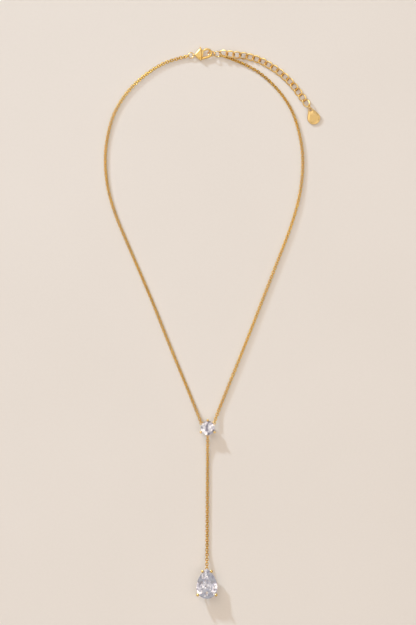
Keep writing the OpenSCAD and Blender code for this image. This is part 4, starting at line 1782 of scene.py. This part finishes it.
@dataclass(frozen=True)
class Panel:
    """A round soft box in the sky: its direction, its reach round that, in degrees, and its strength."""

    turn: float
    height: float
    reach: float
    strength: float

    def way(self) -> tuple[float, float, float]:
        """Direction to its middle."""
        level, up, _ = direction(self.height)
        return tuple(level * direction(self.turn) + up * UP)


@dataclass(frozen=True)
class Studio:
    """Pale floor, a low soft key light near by at the upper left, a soft sky and a camera straight above."""

    centre: tuple[float, float] = (0.00014, 0.0525)
    view_height: float = 0.2844
    lens: float = 160.0
    sensor: float = 36.0
    floor_size: float = 3.0
    floor_drop: float = 0.00002
    key_at: tuple[float, float, float] = (-0.45, 0.63, 0.285)
    key_strength: float = 32.5
    key_radius: float = 0.024
    key_colour: tuple[float, float, float] = (0.64, 0.81, 1.0)
    sky_top: tuple = (1.0, 0.925, 0.865, 1.0)
    sky_side: tuple = (0.78, 0.6, 0.44, 1.0)
    sky_edge: tuple = (0.22, 0.15, 0.09, 1.0)
    side_height: float = 0.45
    top_height: float = 0.85
    panels: tuple[Panel, ...] = (
        Panel(122, 40, 19, 2.7),
        Panel(-15, 48, 15, 2.4),
        Panel(212, 45, 13, 2.0),
        Panel(75, 66, 8, 1.7),
        Panel(295, 62, 8, 1.7),
        Panel(0, 90, 28, 0.35),
    )
    panel_edge: float = 5.0
    gloom: float = 0.16
    gloom_top: float = 0.24
    sky_strength: float = 0.96

    def add_key(self) -> None:
        """Adds the key light, a soft ball as strong far off as close by, which the camera can't see."""
        light = bpy.data.lights.new("key", "POINT")
        light.energy = self.key_strength
        light.color = self.key_colour
        light.shadow_soft_size = self.key_radius
        light.use_nodes = True
        bench = Bench(light.node_tree)
        even = bench.node("ShaderNodeLightFalloff", {}, {"Strength": 1.0}, "Constant")
        bench.surface(bench.node("ShaderNodeEmission", {}, {"Strength": even}), "ShaderNodeOutputLight")
        holder = bpy.data.objects.new("key", light)
        holder.location = self.key_at
        holder.visible_camera = False
        bpy.context.scene.collection.objects.link(holder)

    def add_floor(self) -> None:
        """Adds the floor a hair under the necklace."""
        half = self.floor_size / 2
        corners = [(-half, -half), (half, -half), (half, half), (-half, half)]
        mesh = bpy.data.meshes.new("floor")
        points = [(x, y + self.centre[1], -self.floor_drop) for x, y in corners]
        mesh.from_pydata(points, [], [(0, 1, 2, 3)])
        mesh.materials.append(PaleFloor().build())
        floor = bpy.data.objects.new("floor", mesh)
        bpy.context.scene.collection.objects.link(floor)

    def add_sky(self) -> None:
        """Lights the scene all round: soft boxes in a dim sky that is warmer towards the horizon."""
        world = bpy.data.worlds.new("soft_sky")
        world.use_nodes = True
        bpy.context.scene.world = world
        bench = Bench(world.node_tree)
        place = bench.node("ShaderNodeTexCoord", output="Generated")
        height = bench.node("ShaderNodeSeparateXYZ", {}, {0: place}, output="Z")
        rise = bench.ranged(height, 0.0, self.side_height)
        side = bench.blend(rise, self.sky_edge, self.sky_side)
        rise = bench.ranged(height, self.side_height, self.top_height)
        colour = bench.blend(rise, side, self.sky_top)
        glow = bench.ranged(height, 0.0, 1.0, self.gloom, self.gloom_top)
        for panel in self.panels:
            product = {"operation": "DOT_PRODUCT"}
            near = bench.node("ShaderNodeVectorMath", product, {0: place, 1: panel.way()}, "Value")
            outer = math.cos(math.radians(panel.reach + self.panel_edge))
            inner = math.cos(math.radians(panel.reach))
            glow = glow + bench.ranged(near, outer, inner, 0.0, panel.strength)
        inputs = {"Color": colour, "Strength": glow * self.sky_strength}
        bench.surface(bench.node("ShaderNodeBackground", {}, inputs), "ShaderNodeOutputWorld")

    def add_camera(self) -> None:
        """Adds the camera over the middle of the photo's frame, looking straight down with +Y up."""
        data = bpy.data.cameras.new("camera")
        data.lens = self.lens
        data.sensor_width = self.sensor
        data.clip_start = 0.01
        data.dof.use_dof = False
        camera = bpy.data.objects.new("camera", data)
        camera.location = (*self.centre, self.view_height * self.lens / self.sensor)
        bpy.context.scene.collection.objects.link(camera)
        bpy.context.scene.camera = camera

    def build(self) -> None:
        """Sets up the floor, lights and camera."""
        self.add_camera()
        self.add_floor()
        self.add_sky()
        self.add_key()
        bpy.context.scene.view_settings.view_transform = "Standard"
        log.info("studio: key light %.0f mm above the floor", self.key_at[2] / MM)


def main() -> None:
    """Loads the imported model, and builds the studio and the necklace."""
    logging.basicConfig(level=logging.INFO, format="%(name)s: %(message)s")
    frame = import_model()
    Studio().build()
    Necklace().build(frame["nodes"])


if __name__ == "__main__":
    main()
